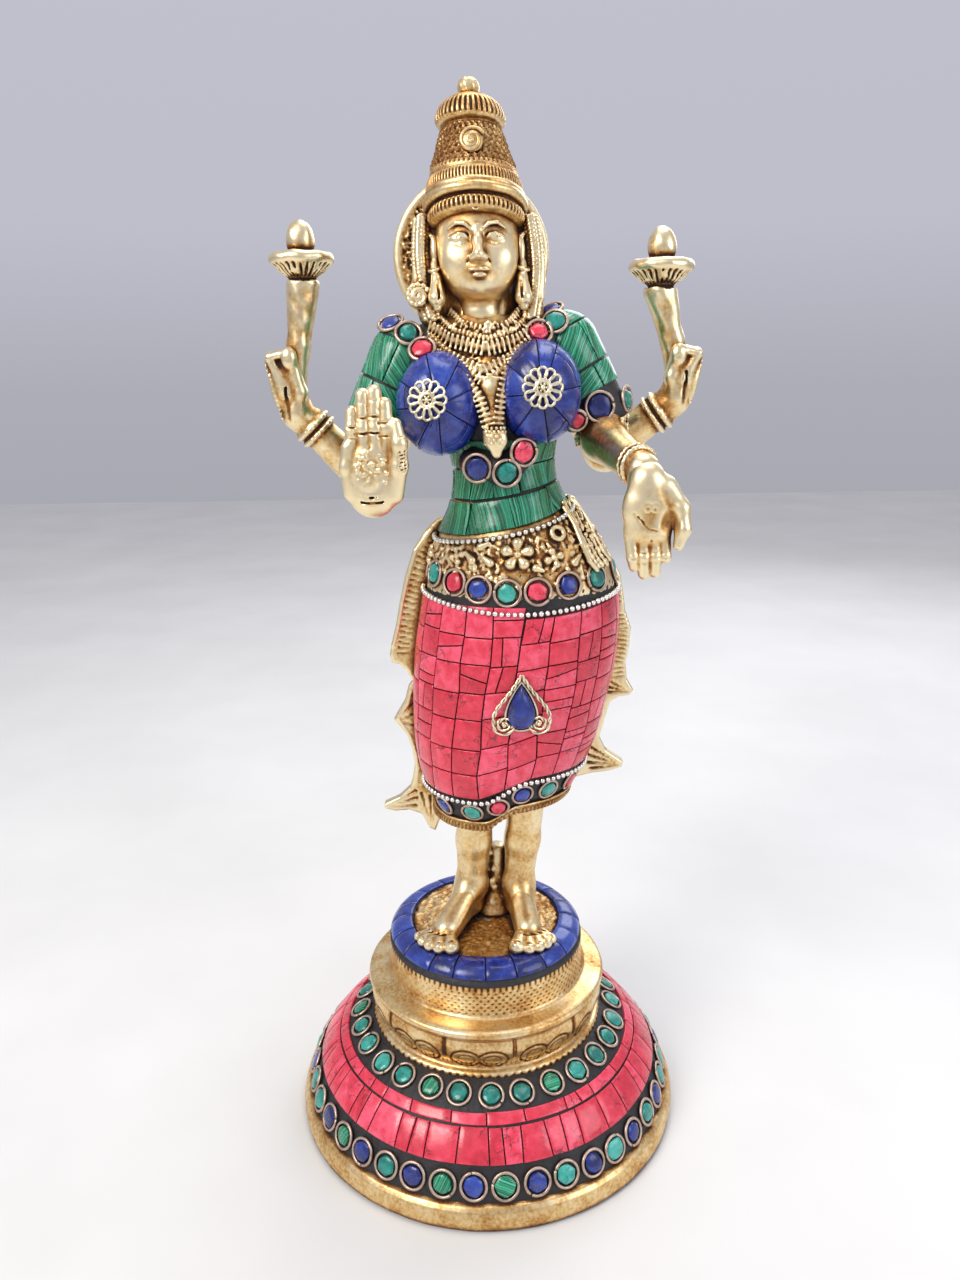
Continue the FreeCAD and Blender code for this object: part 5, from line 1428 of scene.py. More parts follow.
for chain in (
    ([(-7.6, -5, 267.0), (-4.6, -9.8, 263.6), (2.8, -12.6, 261.6), (9.4, -10.4, 263.4), (12.8, -5, 267.6)],
     1.35, 1.0, 0.42),
    ([(-13.4, -7.0, 263.2), (-8.0, -12.0, 259.4), (2.6, -15.2, 256.8), (12.0, -12.6, 259.0),
      (17.6, -7.0, 263.4)], 1.5, 1.5, 0.48),
    ([(-14.0, -9.0, 259.8), (-8.6, -14.0, 255.2), (1.2, -18.2, 250.6), (9.6, -16.2, 254.0),
      (15.2, -11.4, 258.6)], 1.5, 1.4, 0.46),
    ([(-11.6, -13.4, 255.6), (-4.4, -18.8, 249.6), (0.6, -20.6, 243.4), (2.6, -20.8, 237.0),
      (4.0, -20.4, 231.8)], 1.45, 1.2, 0.45),
    ([(12.6, -14.8, 256.2), (8.6, -19.0, 250.4), (6.8, -20.4, 243.6), (6.0, -20.8, 237.6),
      (5.6, -20.4, 232.0)], 1.45, 1.0, 0.45),
    ([(-11.0, -6.0, 265.6), (-6.6, -11.2, 261.6), (2.7, -14.2, 259.2), (10.8, -11.8, 261.4),
      (15.4, -6.0, 266.0)], 1.2, 0.8, 0.36),
    ([(-11.5, -11.0, 257.4), (-5.0, -16.4, 252.6), (2.2, -18.9, 247.4), (8.8, -17.0, 252.6),
      (13.0, -13.4, 257.4)], 1.3, 1.0, 0.40),
):
    garland(chest, *chain)
for k in range(24):
    h = 249.0 - k * 0.78
    chest.rod((2.6, -18.6 - 0.05 * k, h), (6.4, -18.6 - 0.05 * k, h + (0.5 if k % 2 else -0.5)), 0.42, k=0.2)
for _ in range(150):
    t = chance.uniform(0, 1)
    z = 264 - 13 * t
    x = 2.8 + chance.uniform(-13, 13) * (1 - t * 0.6)
    y = -3.4 - 11.4 * math.sqrt(max(0.02, 1 - ((x - 3.2) / 16.0) ** 2)) * (1.0 - 0.25 * (1 - t))
    chest.ball((x, y, z), chance.uniform(0.35, 0.7), 0.3)
chest.loft([(226.6, 5.2, -20.2, 1.0, 1.0), (229.2, 5.0, -20.3, 2.0, 1.5), (230.4, 4.9, -20.4, 2.9, 1.7),
            (234.4, 4.6, -20.2, 3.0, 1.6),
            (236.0, 4.5, -19.8, 2.0, 1.2)], 0.4)
for row in range(5):
    for k in range(6):
        a = math.pi * (1.08 + 0.84 * (k + 0.5 * (row % 2)) / 5.5)
        chest.ball((4.75 + 2.9 * math.cos(a), -20.3 + 1.7 * math.sin(a), 230.9 + row * 1.1), 0.5, 0.1)
chest.ball((3.0, 2.0, 259.0), (20.0, 9.8, 7.0), 2.0)
chest.piece("chest_neck_and_chains", RELIEF_BRASS, "cast_brass", ("torso_core", "necklace"))



def midriff_rise(angle, share):
    base = bodice_line(angle) + 0.9
    return base + (163.5 - base) * share


heap = Heap()
for r, (count, low, high) in enumerate(((8, 0.02, 0.36), (11, 0.37, 0.68), (9, 0.69, 0.99))):
    turns = girth_angles(count, 150.0, FRONT + 17 * r)
    joint = [chance.uniform(-4, 4) for _ in range(count)]
    for k in range(count):
        a, b = turns[k] + joint[k], turns[k + 1] + joint[(k + 1) % count]
        lo, hi = low + chance.uniform(-0.01, 0.01), high + chance.uniform(-0.02, 0.01)
        skew = chance.uniform(-2.5, 2.5)
        corners = [(a, midriff_rise(a, lo)), (b, midriff_rise(b, lo)), (b + skew, midriff_rise(b, hi)),
                   (a + skew, midriff_rise(a, hi))]
        add_tile(heap, corners, trunk_spot, 0.0, -1.0, 0.32, 0.18, 4, grain=chance.uniform(-0.25, 0.25))
for low, high in ((164.2, 172.4), (173.0, 181.0), (181.6, 188.6)):
    stops = np.linspace(14, 166, 7)
    for a, b in zip(stops, stops[1:]):
        corners = [(a, low), (b, low), (b, high), (a, high)]
        add_tile(heap, corners, trunk_spot, 0.0, -1.4, 0.32, 0.18, 4, grain=chance.uniform(-0.25, 0.25))
heap.piece("midriff_malachite", GREEN, "malachite", ("midriff_malachite_tiles",), sharp=40)

heap = Heap()
for side in ("right", "left"):
    c, radii = BUSTS[side]

    def bust_surface(u, v, c=c, radii=radii):
        a, t = math.radians(v), math.radians(u)
        d = np.array([math.sin(a) * math.cos(t), -math.cos(a), math.sin(a) * math.sin(t)])
        return c + radii * d, unit(d / radii)

    joint = [chance.uniform(-9, 9) for _ in range(8)]
    for k in range(8):
        a, b = 12 + 45 * k + joint[k], 57 + 45 * k + joint[(k + 1) % 8]
        cross = (5, 97) if k % 3 else (5, chance.uniform(46, 62), 97)
        for low, high in zip(cross, cross[1:]):
            tilt = 3.0 if high < 90 else 0.0
            lean = 3.0 if low > 10 else 0.0
            corners = [(a, low + lean), (b, low - lean), (b, high - tilt), (a, high + tilt)]
            add_tile(heap, corners, bust_surface, 0.05, -0.9, 0.26, 0.18, 9)
heap.piece("bust_lapis", LAPIS, "lapis", ("bust_lapis_tiles",), sharp=45)

heap = Heap()
for side, turn in (("right", (-0.22, -1.0, 0.10)), ("left", (0.02, -1.0, 0.10))):
    c, radii = BUSTS[side]
    d = unit(turn)
    at = c + radii * d / np.linalg.norm(d) + d * 0.5
    e1, e2, n = frame_of(turn)
    for k in range(12):
        a = TAU * k / 12
        loop = []
        for j in range(15):
            t = TAU * j / 14
            rad, tan = 3.75 + 1.65 * math.cos(t), 1.18 * math.sin(t) * (1.0 + 0.25 * math.cos(t))
            flat = rad * (math.cos(a) * e1 + math.sin(a) * e2) + tan * (-math.sin(a) * e1 + math.cos(a) * e2)
            loop.append(at + flat + n * (0.55 - 0.010 * rad * rad))
        add_tube(heap, loop, 0.40, 6, ends=False, hint=n)
    add_ring(heap, at + n * 0.45, n, 1.75, 0.55, 28)
    for k in range(6):
        a = TAU * k / 6
        add_bead(heap, at + n * 0.6 + 0.95 * (math.cos(a) * e1 + math.sin(a) * e2), 0.42, sides=6, rows=4)
    add_bead(heap, at + n * 0.75, 0.75)
heap.piece("bust_flowers", GILT, "gilt_wire", ("bust_rosettes",))

heap = Heap()
for side in ("right", "left"):
    a0, ra, b0, rb = SLEEVE[side]
    axis = unit(b0 - a0)
    e1 = unit(np.cross(axis, (0, 1, 0)))
    e2 = np.cross(axis, e1)
    length = float(np.linalg.norm(b0 - a0))

    def sleeve_surface(u, v, a0=a0, ra=ra, rb=rb, axis=axis, e1=e1, e2=e2, length=length):
        t = math.radians(u)
        out = math.cos(t) * e1 + math.sin(t) * e2
        if v < 0:
            w = v * math.pi / 2
            n = out * math.cos(w) + axis * math.sin(w)
            return a0 + n * ra, n
        r = ra + (rb - ra) * v
        return a0 + axis * length * v + out * r, unit(out + axis * (ra - rb) / length)

    stop = 0.98 if side == "right" else 0.74
    for count, low, high in ((5, -0.90, -0.24), (7, -0.22, 0.40), (6, 0.42, stop)):
        joint = [chance.uniform(-6, 6) for _ in range(count)]
        for k in range(count):
            a, b = 360 * k / count + joint[k], 360 * (k + 1) / count + joint[(k + 1) % count]
            corners = [(a, low), (b, low), (b, high), (a, high)]
            add_tile(heap, corners, sleeve_surface, 0.0, -1.0, 0.32, 0.2, 5,
                     grain=chance.uniform(-0.3, 0.3) + (0.4 if side == "right" else -0.5))
heap.piece("sleeve_malachite", GREEN, "malachite", ("sleeve_malachite_tiles",), sharp=45)

stones, rings = {"coral": Heap(), "lapis": Heap(), "green": Heap()}, Heap()
for at, normal, kind, size in (
    *((tuple(at), tuple(normal), kind, 1.0) for at, normal, kind in SHOULDER_STONES),
    ((-0.6, -18.0, 223.8), (-0.25, -1, -0.10), "lapis", 1.1),
    ((8.0, -19.4, 222.4), (0.05, -1, -0.10), "green", 1.05),
    ((13.0, -18.8, 228.2), (0.25, -1, -0.05), "coral", 1.05),
    ((28.6, -11.8, 236.4), (0.15, -1, -0.25), "coral", 0.8),
    ((35.4, -9.9, 240.2), (0.15, -1, 0.0), "lapis", 1.15),
    ((44.6, -3.2, 242.0), (1, -0.55, 0.15), "green", 1.0),
    ((-38.8, -2.4, 234.4), (-1, -0.3, 0.1), "lapis", 1.0),
    ((-34.8, -8.8, 233.8), (-0.6, -1, 0.1), "green", 0.9),
    ((36.4, 8.4, 239.6), (0.3, 1, 0.1), "lapis", 1.0), ((-31.8, 7.6, 234.4), (-0.3, 1, 0.1), "lapis", 1.0),
):
    sink = -0.45 if at[2] > 250 else 0.5
    place_stone(stones[kind], rings, np.array(at) - unit(normal) * sink, unit(normal), 3.65 * size, 0.50,
                2.95 * size, 1.0)
rings.piece("bodice_rings", BEZEL, "bezel_wire", ("bodice_bezels",))
for kind, material, slot in (("coral", CORAL, "coral"), ("lapis", LAPIS, "lapis"),
                             ("green", TURQUOISE, "malachite")):
    stones[kind].piece(f"bodice_{kind}_set", material, slot, (f"bodice_{kind}_stones",), sharp=32)


# --- Arms and hands ---
def arm_ring(clay, at, axis, radius, wire=0.8, ribs=22):
    clay.ring(at, axis, radius, wire, 0.4)
    e1, e2, n = frame_of(axis)
    for k in range(ribs):
        a = TAU * k / ribs
        clay.ball(tuple(np.asarray(at) + (radius + wire * 0.5) * (math.cos(a) * e1 + math.sin(a) * e2)),
                  wire * 0.85, 0.15)


arm = Clay((-40, -38, 208), (-18, 10, 246), 0.38)
arm.path([(-31.0, -1.0, 235.0), (-30.8, -4.0, 223.4), (-28.8, -33.0, 219.4)], [7.2, 6.4, 4.9], 2.2)
for y in (-28.6, -30.8):
    arm_ring(arm, (-28.9, y, 219.8), (0.05, -1, -0.05), 5.3, 0.7)
arm.piece("arm_front_right", BRASS, "cast_brass", ("right_front_arm",))

hand = Clay((-40, -47, 209), (-16, -30, 253), 0.28)
hand.ball((-28.2, -37.5, 219.0), (5.6, 5.2, 5.4), 0.5)
hand.ball((-28.2, -39.6, 223.6), (7.4, 3.7, 9.6), 2.5)
hand.ball((-28.0, -39.4, 230.0), (7.2, 3.0, 5.0), 2.0)
for x0, x1, tip, r in ((-33.0, -32.7, 243.0, 2.0), (-29.9, -29.8, 247.4, 2.15), (-26.8, -26.8, 248.2, 2.2),
                       (-23.8, -24.2, 245.0, 2.0)):
    hand.path([(x0, -39.8, 230.0), (x0 * 0.4 + x1 * 0.6, -40.4, 237.0), (x1, -40.0, tip - r)],
              [r * 1.06, r, r * 0.9], 0.5)
    for share in (0.28, 0.52, 0.76):
        z = 231.0 + (tip - 231.0) * share
        hand.rod((x0 - r, -42.2, z), (x0 + r, -42.2, z), 0.30, k=0.2, mode="cut")
for x in (-31.9, -28.3, -25.0):
    hand.path([(x, -42.4, 232.0), (x - 0.2, -42.6, 238.0), (x - 0.3, -42.2, 243.0)], 0.30, 0.3, "cut")
hand.path([(-22.6, -39.6, 219.5), (-20.9, -41.0, 227.0), (-20.6, -41.6, 233.0), (-21.4, -41.2, 238.0)],
          [2.6, 2.3, 2.0, 1.5], 1.2)
hand.path([(-34.4, -39.6, 220.0), (-35.0, -40.4, 227.0), (-34.4, -40.6, 232.0)], [1.6, 1.5, 1.5], 1.5)
hand.ball((-28.2, -44.6, 226.6), (4.6, 2.2, 5.6), 1.4, "cut")
flower(hand, np.array([-28.2, -42.2, 225.6]), (0, -1, 0), 6, 2.4, 0.62)
for k in range(15):
    t = k / 14
    hand.rod((-19.0, -42.4, 222 + 13 * t), (-20.6, -43.4, 221.6 + 13 * t), 0.22, k=0.15, mode="cut")
for z in (217.6, 219.2):
    hand.path([(-33.4, -40.4, z + 1.4), (-30.8, -42.4, z + 0.4), (-28.2, -43.1, z), (-25.6, -42.4, z + 0.4),
               (-23.0, -40.4, z + 1.4)],
              0.34, 0.3, "cut")
for _ in range(70):
    a, r = chance.uniform(0, 6.283), math.sqrt(chance.uniform(0.02, 1))
    hand.ball((-28.2 + 4.6 * r * math.cos(a), -42.0 - 0.5 * r, 225.8 + 5.6 * r * math.sin(a)),
              chance.uniform(0.28, 0.58), 0.2)
hand.piece("hand_front_right", FACE_BRASS, "cast_brass", ("right_front_hand",))

arm = Clay((22, -32, 214), (54, 10, 250), 0.38)
arm.path([(35.6, -1.0, 240.0), (37.2, -5.0, 230.4), (45.4, -26.6, 223.8)], [7.3, 6.5, 4.8], 2.2)
for _ in range(150):
    a, h = chance.uniform(0, 6.28), chance.uniform(-2.6, 2.0)
    arm.ball((37.0 + 7.4 * math.cos(a), -2.2 + 7.4 * math.sin(a), 233.4 + h + 2.0 * math.cos(a)),
             chance.uniform(0.5, 0.95), 0.2)
arm_ring(arm, (44.0, -22.9, 224.9), (0.35, -0.92, -0.12), 5.2, 0.75)
arm_ring(arm, (44.7, -24.8, 224.4), (0.35, -0.92, -0.12), 5.2, 0.75)
arm.piece("arm_front_left", BRASS, "cast_brass", ("left_front_arm",))

hand = Clay((34, -42, 189), (62, -20, 229), 0.28)
hand.ball((46.2, -28.6, 221.6), (5.2, 5.0, 5.0), 0.5)
hand.ball((47.0, -30.6, 213.4), (7.6, 3.8, 9.6), 2.5)
hand.ball((46.6, -30.6, 206.6), (6.6, 3.0, 4.6), 2.0)
for x0, x1, tip, r in ((42.0, 43.2, 195.6, 1.8), (45.2, 46.0, 193.3, 1.95), (48.5, 49.0, 193.8, 1.9),
                       (51.3, 52.0, 198.6, 1.7)):
    hand.path([(x0, -30.8, 206.0), ((x0 + x1) / 2, -31.6, 200.0), (x1, -31.0, tip + r)],
              [r * 1.08, r, r * 0.9], 0.5)
    for share in (0.3, 0.55, 0.78):
        z = 205.0 + (tip - 205.0) * share
        hand.rod((x0 - r, -33.4, z), (x0 + r, -33.4, z), 0.30, k=0.2, mode="cut")
for x in (43.9, 47.3, 50.4):
    hand.path([(x, -33.6, 205.0), (x + 0.5, -33.8, 200.0), (x + 0.8, -33.2, 196.0)], 0.30, 0.3, "cut")
hand.path([(51.4, -30.0, 219.4), (55.4, -32.0, 213.6), (56.0, -33.2, 208.0), (54.8, -33.6, 203.6)],
          [3.2, 2.5, 2.2, 1.5], 1.2)
hand.ball((52.0, -35.4, 209.4), (2.6, 3.0, 4.2), 1.0, "cut")
hand.ball((46.6, -36.2, 212.0), (4.4, 2.4, 5.0), 1.2, "cut")
for z, x in ((216.4, 47.0), (213.8, 46.0), (213.8, 48.0)):
    hand.ring((x, -33.8, z), (0, -1, 0), 0.85, 0.3, 0.2)
for k, bend in enumerate((0.0, 1.0, 2.0)):
    hand.path([(42.4 + bend, -33.6, 212.6 - bend), (44.6 + bend, -34.2, 208.8 - bend * 0.4),
               (48.6 + bend * 0.4, -34.0, 207.6)], 0.25, 0.2, "cut")
hand.piece("hand_front_left", FACE_BRASS, "cast_brass", ("left_front_hand",))


def rear_arm(name, node_name, sign, shoulder, elbow, wrist, knuckle, low, high):
    clay = Clay(low, high, 0.40)
    clay.path([shoulder, elbow], [6.4, 6.6], 1.0)
    clay.rod(elbow, wrist, 6.3, 4.9, 2.5)
    ahead = unit(np.array(wrist) - np.array(elbow))
    for back in (0.6, 3.2):
        arm_ring(clay, np.array(wrist) - ahead * back, ahead, 5.4, 0.85)
    palm = np.array(wrist) + np.array([sign * 3.6, -2.0, 3.0])
    clay.rod(wrist, palm, 4.6, 4.4, 2.0)
    clay.rod(palm, (knuckle[0], knuckle[1], knuckle[2] - 3.0), 4.2, 2.9, 2.0)
    for k in range(4):
        y = knuckle[1] - 3.2 + 1.9 * k
        top = (knuckle[0] + sign * 0.6, y, knuckle[2] - 1.0 - 0.5 * abs(k - 1.5))
        clay.rod((palm[0] + sign * 1.6, y, palm[2] + 6), top, 1.5, 1.35, 0.8)
        clay.rod(top, (knuckle[0] - sign * 4.2, y - 0.8, knuckle[2] - 0.6), 1.35, 1.2, 0.5)
    for k in range(12):
        z = palm[2] - 1 + k * (knuckle[2] - palm[2] - 3) / 11
        x = palm[0] + sign * 4.1 + (knuckle[0] + sign * 2.0 - palm[0] - sign * 4.1) * k / 11
        clay.rod((x, palm[1] - 3.2, z), (x + sign * 0.4, palm[1] + 3.2, z), 0.42, k=0.3)
        clay.rod((x + sign * 0.7, palm[1] - 3.4, z + 0.75), (x + sign * 0.7, palm[1] + 3.4, z + 0.75), 0.30,
                 k=0.2, mode="cut")
    thumb = (palm[0] - sign * 1.8, palm[1] - 3.0, palm[2] + 6.5)
    clay.path([(palm[0], palm[1] - 2.4, palm[2] + 1), thumb,
               (knuckle[0] - sign * 5.6, knuckle[1] - 3.2, knuckle[2] - 1.5)], [2.6, 2.2, 2.0], 1.2)
    clay.ball((knuckle[0] - sign * 5.4, knuckle[1] - 4.0, knuckle[2] - 2.0), (2.5, 2.2, 3.4), 0.6)
    clay.rod((knuckle[0] - sign * 7.4, knuckle[1] - 6.2, knuckle[2] - 3.0),
             (knuckle[0] - sign * 3.4, knuckle[1] - 6.2, knuckle[2] - 2.0), 0.3, k=0.2, mode="cut")
    middle = (np.array(palm) * 0.45 + np.array(knuckle) * 0.55)
    clay.ball((middle[0] - sign * 0.6, middle[1] - 0.4, middle[2] - 1.0), (4.6, 4.2, 8.4), 1.5)
    clay.rod((palm[0] - sign * 0.4, palm[1], palm[2] + 3),
             (knuckle[0] - sign * 2.6, knuckle[1] + 0.4, knuckle[2] - 3.6), 3.8, 3.0, 1.5)
    clay.path([(palm[0] + sign * 1.8, palm[1] - 4.6, palm[2] - 2),
               (palm[0] + sign * 2.2, palm[1] - 5.0, palm[2] + 8)], 0.5, 0.5, "cut")
    clay.piece(name, BRASS, "cast_brass", (node_name,))


rear_arm("arm_rear_right", "right_rear_arm", -1, (-19, 9, 254), (-33.0, 12.6, 215.4), (-51.6, 8.6, 235.4),
         (-61.2, 5.8, 257.0),
         (-68, -4, 206), (-10, 21, 262))
rear_arm("arm_rear_left", "left_rear_arm", 1, (23, 9, 254), (40.0, 12.6, 226.0), (56.6, 8.6, 238.4),
         (65.2, 5.8, 256.4),
         (14, -4, 217), (69, 21, 262))


def lotus(name, node_name, low, middle, top, bud_radius, bud_top):
    clay = Clay((top[0] - 13, top[1] - 13, low[2] - 5), (top[0] + 13, top[1] + 13, bud_top + 2), 0.34)
    clay.path([low, middle, (top[0], top[1], top[2] - 1.2)], [2.8, 3.2, 5.0], 2.5)
    clay.put((top[0] - 9, top[1] - 9, top[2] - 0.2), (top[0] + 9, top[1] + 9, top[2] + 9), lambda x, y,
             z: top[2] - z, 0.6, "cut")
    z = top[2]

    def turned(profile, k):
        rows = [(z + h, top[0], top[1], r, r) for r, h in profile]
        clay.loft(rows, k)

    turned([(3.8, -1.0), (4.3, 0.6), (6.2, 1.9), (7.6, 3.4), (8.0, 5.0)], 0.3)
    clay.ring((top[0], top[1], z + 5.8), (0, 0, 1), 7.7, 1.9, 1.0)
    clay.ball((top[0], top[1], z + 6.4), (8.2, 8.2, 1.6), 0.6)
    for k in range(26):
        a = TAU * k / 26
        c, s = math.cos(a), math.sin(a)
        clay.rod((top[0] + 4.4 * c, top[1] + 4.4 * s, z + 0.9), (top[0] + 8.4 * c, top[1] + 8.4 * s, z + 4.3),
                 0.36, k=0.25, mode="cut")
    clay.ring((top[0], top[1], z - 0.2), (0, 0, 1), 4.2, 0.45, 0.3, "cut")
    height = bud_top - (z + 7.0)
    clay.ball((top[0], top[1], z + 7.0 + height * 0.42), (bud_radius, bud_radius, height * 0.58), 0.4)
    clay.put((top[0] - 9, top[1] - 9, low[2] - 9), (top[0] + 9, top[1] + 9, bud_top + 2),
             lambda x, y, zz: -0.16 * np.sin(0.9 * x + 0.5 * zz) * np.sin(0.7 * y - 0.4 * zz), 0.0, "relief")
    clay.piece(name, BRASS, "cast_brass", (node_name,))


lotus("lotus_right", "right_lotus", (-55.4, 5.0, 239.0), (-53.4, 5.6, 258.0), (-51.0, 6.0, 277.0), 4.2, 293.6)
lotus("lotus_left", "left_lotus", (60.6, 5.0, 241.0), (58.6, 5.6, 258.0), (54.6, 6.0, 273.6), 4.3, 290.4)


# --- Head, ears, hair and crown: made upright about the head's centre, then leaned back; the halo in place ---
HEAD = np.array([0.6, -3.0, CROWN_TOP - 45.8])
LEAN = math.radians(8.0)


def leaned(p):
    """Head coordinates to the statue's: lean back about the head's centre, with a slight tilt to the side."""
    y = p[:, 1] * math.cos(LEAN) + p[:, 2] * math.sin(LEAN)
    z = p[:, 2] * math.cos(LEAN) - p[:, 1] * math.sin(LEAN)
    x = p[:, 0] - 0.045 * z
    return np.stack([x, y, z], axis=1) + HEAD


head = Clay((-16, -18, -20), (16, 16, 20), 0.24)
head.ball((0, 1.5, 3.5), (11.8, 11.6, 13.4))
head.ball((0, -1.6, -2.6), (11.2, 9.6, 12.6), 3.0)
head.ball((0, -3.6, -7.6), (8.4, 7.2, 6.4), 4.0)
head.ball((0, -8.2, -11.4), (2.9, 2.2, 2.3), 3.0)
for s in (-1, 1):
    head.ball((s * 5.6, -6.4, -4.0), (4.4, 4.0, 4.6), 3.0)
    head.ball((s * 4.8, -12.4, 0.5), (3.7, 2.0, 2.2), 1.6, "cut")
    head.ball((s * 4.8, -8.8, 0.3), (3.0, 2.2, 1.9), 0.5)
    lash = [(s * 2.3, -10.3, -0.1), (s * 3.6, -10.8, 1.0), (s * 5.0, -10.7, 1.3), (s * 6.4, -9.9, 0.8),
            (s * 7.6, -8.7, 0.0)]
    head.path(lash, [0.3, 0.45, 0.5, 0.42, 0.3], 0.15)
    head.path([(x, y - 0.35, z - 0.62) for x, y, z in lash], 0.17, 0.12, "cut")
    head.path([(s * 2.6, -10.2, -0.7), (s * 4.6, -10.6, -1.3), (s * 6.6, -9.6, -0.8)], 0.34, 0.2)
    head.path([(x, y + 0.1, z + 1.05) for x, y, z in lash], 0.20, 0.2, "cut")
    head.path([(s * 1.7, -10.9, 2.5), (s * 3.4, -11.1, 3.9), (s * 5.6, -10.3, 4.3), (s * 7.8, -8.6, 3.2)],
              [0.42, 0.55, 0.5, 0.32], 0.35)
    head.path([(s * 1.9, -11.2, 3.5), (s * 3.4, -11.2, 4.8), (s * 5.6, -10.4, 5.2), (s * 7.8, -8.6, 4.0)],
              0.17, 0.2, "cut")
    head.ball((s * 1.55, -12.0, -5.3), (1.15, 1.3, 1.0), 0.5)
    head.ball((s * 0.85, -13.2, -6.2), (0.5, 0.6, 0.4), 0.2, "cut")
    head.ball((s * 1.35, -11.5, -8.35), (1.7, 1.1, 0.62), 0.4)
    head.path([(s * 2.6, -11.8, -5.4), (s * 3.6, -10.6, -7.4)], 0.18, 0.3, "cut")
head.path([(0, -10.6, 3.0), (0, -11.8, -0.6), (0, -13.2, -4.6)], [0.95, 1.0, 1.45], 1.3)
head.ball((0, -11.6, -9.75), (2.1, 1.2, 0.8), 0.4)
head.ball((0, -10.5, -7.0), (2.6, 1.7, 1.7), 1.2)
head.path([(-2.9, -11.6, -8.9), (0, -12.9, -9.0), (2.9, -11.6, -8.9)], 0.2, 0.15, "cut")
head.path([(-1.2, -11.6, -10.9), (1.2, -11.6, -10.9)], 0.3, 0.5, "cut")
head.ring((0, -11.0, 8.4), (0, -1, 0.28), 0.95, 0.33, 0.15)
head.rod((0, 1.0, -8), (0, 1.6, -17.0), 6.0, 6.0, 1.5)


def leaned_piece(clay, name, material, slot, nodes):
    mesh = clay.piece(name, material, slot, nodes).data
    flat = np.empty(len(mesh.vertices) * 3, dtype=np.float32)
    mesh.vertices.foreach_get("co", flat)
    mesh.vertices.foreach_set("co", (leaned(flat.reshape(-1, 3) / MM) * MM).astype(np.float32).ravel())
    mesh.update()


leaned_piece(head, "head_face", FACE_BRASS, "cast_brass", ("head",))

ears = Clay((-18, -12, -20), (18, 8, 8), 0.30)
for s in (-1, 1):
    ears.ball((s * 12.2, -0.6, -0.6), (1.5, 2.6, 4.8))
    ears.path([(s * 12.9, -2.2, 3.0), (s * 13.6, -0.2, 4.2), (s * 13.6, 1.6, 1.8), (s * 13.0, 0.6, -3.0)],
              0.6, 0.3)
    ears.ball((s * 13.3, -0.8, 0.4), (1.2, 1.3, 2.2), 0.3, "cut")
    ears.path([(s * 12.4, -1.8, -4.6), (s * 12.0, -3.4, -9.0), (s * 12.2, -5.0, -14.4)], [1.3, 1.6, 2.5], 0.6)
    ears.path([(s * 11.6, -5.6, -9.6), (s * 11.6, -7.2, -15.4)], 0.4, 0.4, "cut")
    ears.ring((s * 12.4, -2.6, -6.0), (0.3 * s, -0.5, 1), 1.7, 0.5, 0.2)
    ears.ball((s * 12.2, -5.2, -17.0), 1.1, 0.4)
leaned_piece(ears, "ears_with_pendants", BRASS, "cast_brass", ("ears_and_earrings",))

hair = Clay((-22, -9, -24), (22, 17, 15), 0.36)
hair.ball((0, 3.0, 0.5), (13.8, 9.6, 13.6))
for s in (-1, 1):
    hair.path([(s * 12.6, 2.2, 8.0), (s * 14.8, 2.6, 0.0), (s * 15.4, 2.0, -9.0), (s * 14.6, 0.6, -18.0)],
              [2.6, 3.2, 3.6, 3.4], 1.5)
    hair.path([(s * 16.2, 0.6, 7.0), (s * 17.4, 0.2, -3.0), (s * 17.2, -1.0, -14.0)], [1.0, 1.4, 1.4], 0.5)
hair.path([(-4, 5.6, -4), (-5, 5.2, -19)], [5.4, 6.0], 4.0)
hair.path([(4, 5.6, -4), (5, 5.2, -19)], [5.4, 6.0], 4.0)
hair.relief((-22, -9, -24), (22, 17, 13), lambda x, y,
            z: 0.34 * np.sin(3.6 * np.arctan2(x, y - 3.0) * 7 / 3.0 + 0.25 * z))
for s in (-1, 1):
    for strand in range(4):
        for k in range(26):
            t = k / 25
            x = s * (13.6 + 3.4 * strand / 3 + 1.6 * math.sin(math.pi * t)) - s * 1.2 * t
            y = -1.6 + 1.0 * abs(strand - 1.5) - 1.2 * t
            hair.ball((x, y, 8.5 - 27.5 * t - 0.5 * (strand % 2)), (0.95, 1.0, 0.72), 0.25)
for k in range(26):
    a = k * 0.5
    r = 3.5 - k * 0.12
    hair.ball((-17.6 + r * math.cos(a), -3.6, -13.4 + r * math.sin(a)), 0.8, 0.25)
hair.ball((-17.6, -1.9, -13.4), (3.4, 1.3, 3.4), 0.5)
hair.put((-12.5, -30, -30), (12.5, -3.0, 16), lambda x, y,
         z: np.maximum(np.maximum(np.abs(x) - 11.6, y + 3.0), -5), 0.5, "cut")
leaned_piece(hair, "hair_locks", BRASS, "cast_brass", ("hair",))


def crown_relief(t, r, z):
    front = (np.cos(t + math.pi / 2) + 1) / 2
    h = 0.06 * np.sin(9 * t + z)

    def rib(n, lo, hi, deep):
        return -deep * np.clip(np.sin(n * t), -0.2, 1) * np.clip((z - lo) / 0.5, 0,
                                                                 1) * np.clip((hi - z) / 0.5, 0, 1)
    h = h + rib(62, 8.4, 11.0, 0.6) + rib(84, 16.0, 18.9, 0.5) + rib(56, 20.0, 21.4, 0.35) + rib(40, 33.6,
                                                                                                 38.6, 0.55)
    cone = (z > 21.4) & (z < 31.6)
    row_of = (z - 21.4) / 1.75
    shift = np.floor(row_of) % 2 * math.pi
    arch = np.abs(np.sin(17 * t + shift / 2))
    scale = 0.75 * np.clip(1 - np.abs(np.mod(row_of, 1.0) - 0.15 - 0.55 * arch) * 4.0, 0, 1) - 0.28
    return h + np.where(cone, scale, 0.0) - 0.25 * cone * np.clip(np.sin(34 * t + shift), 0, 1) * front


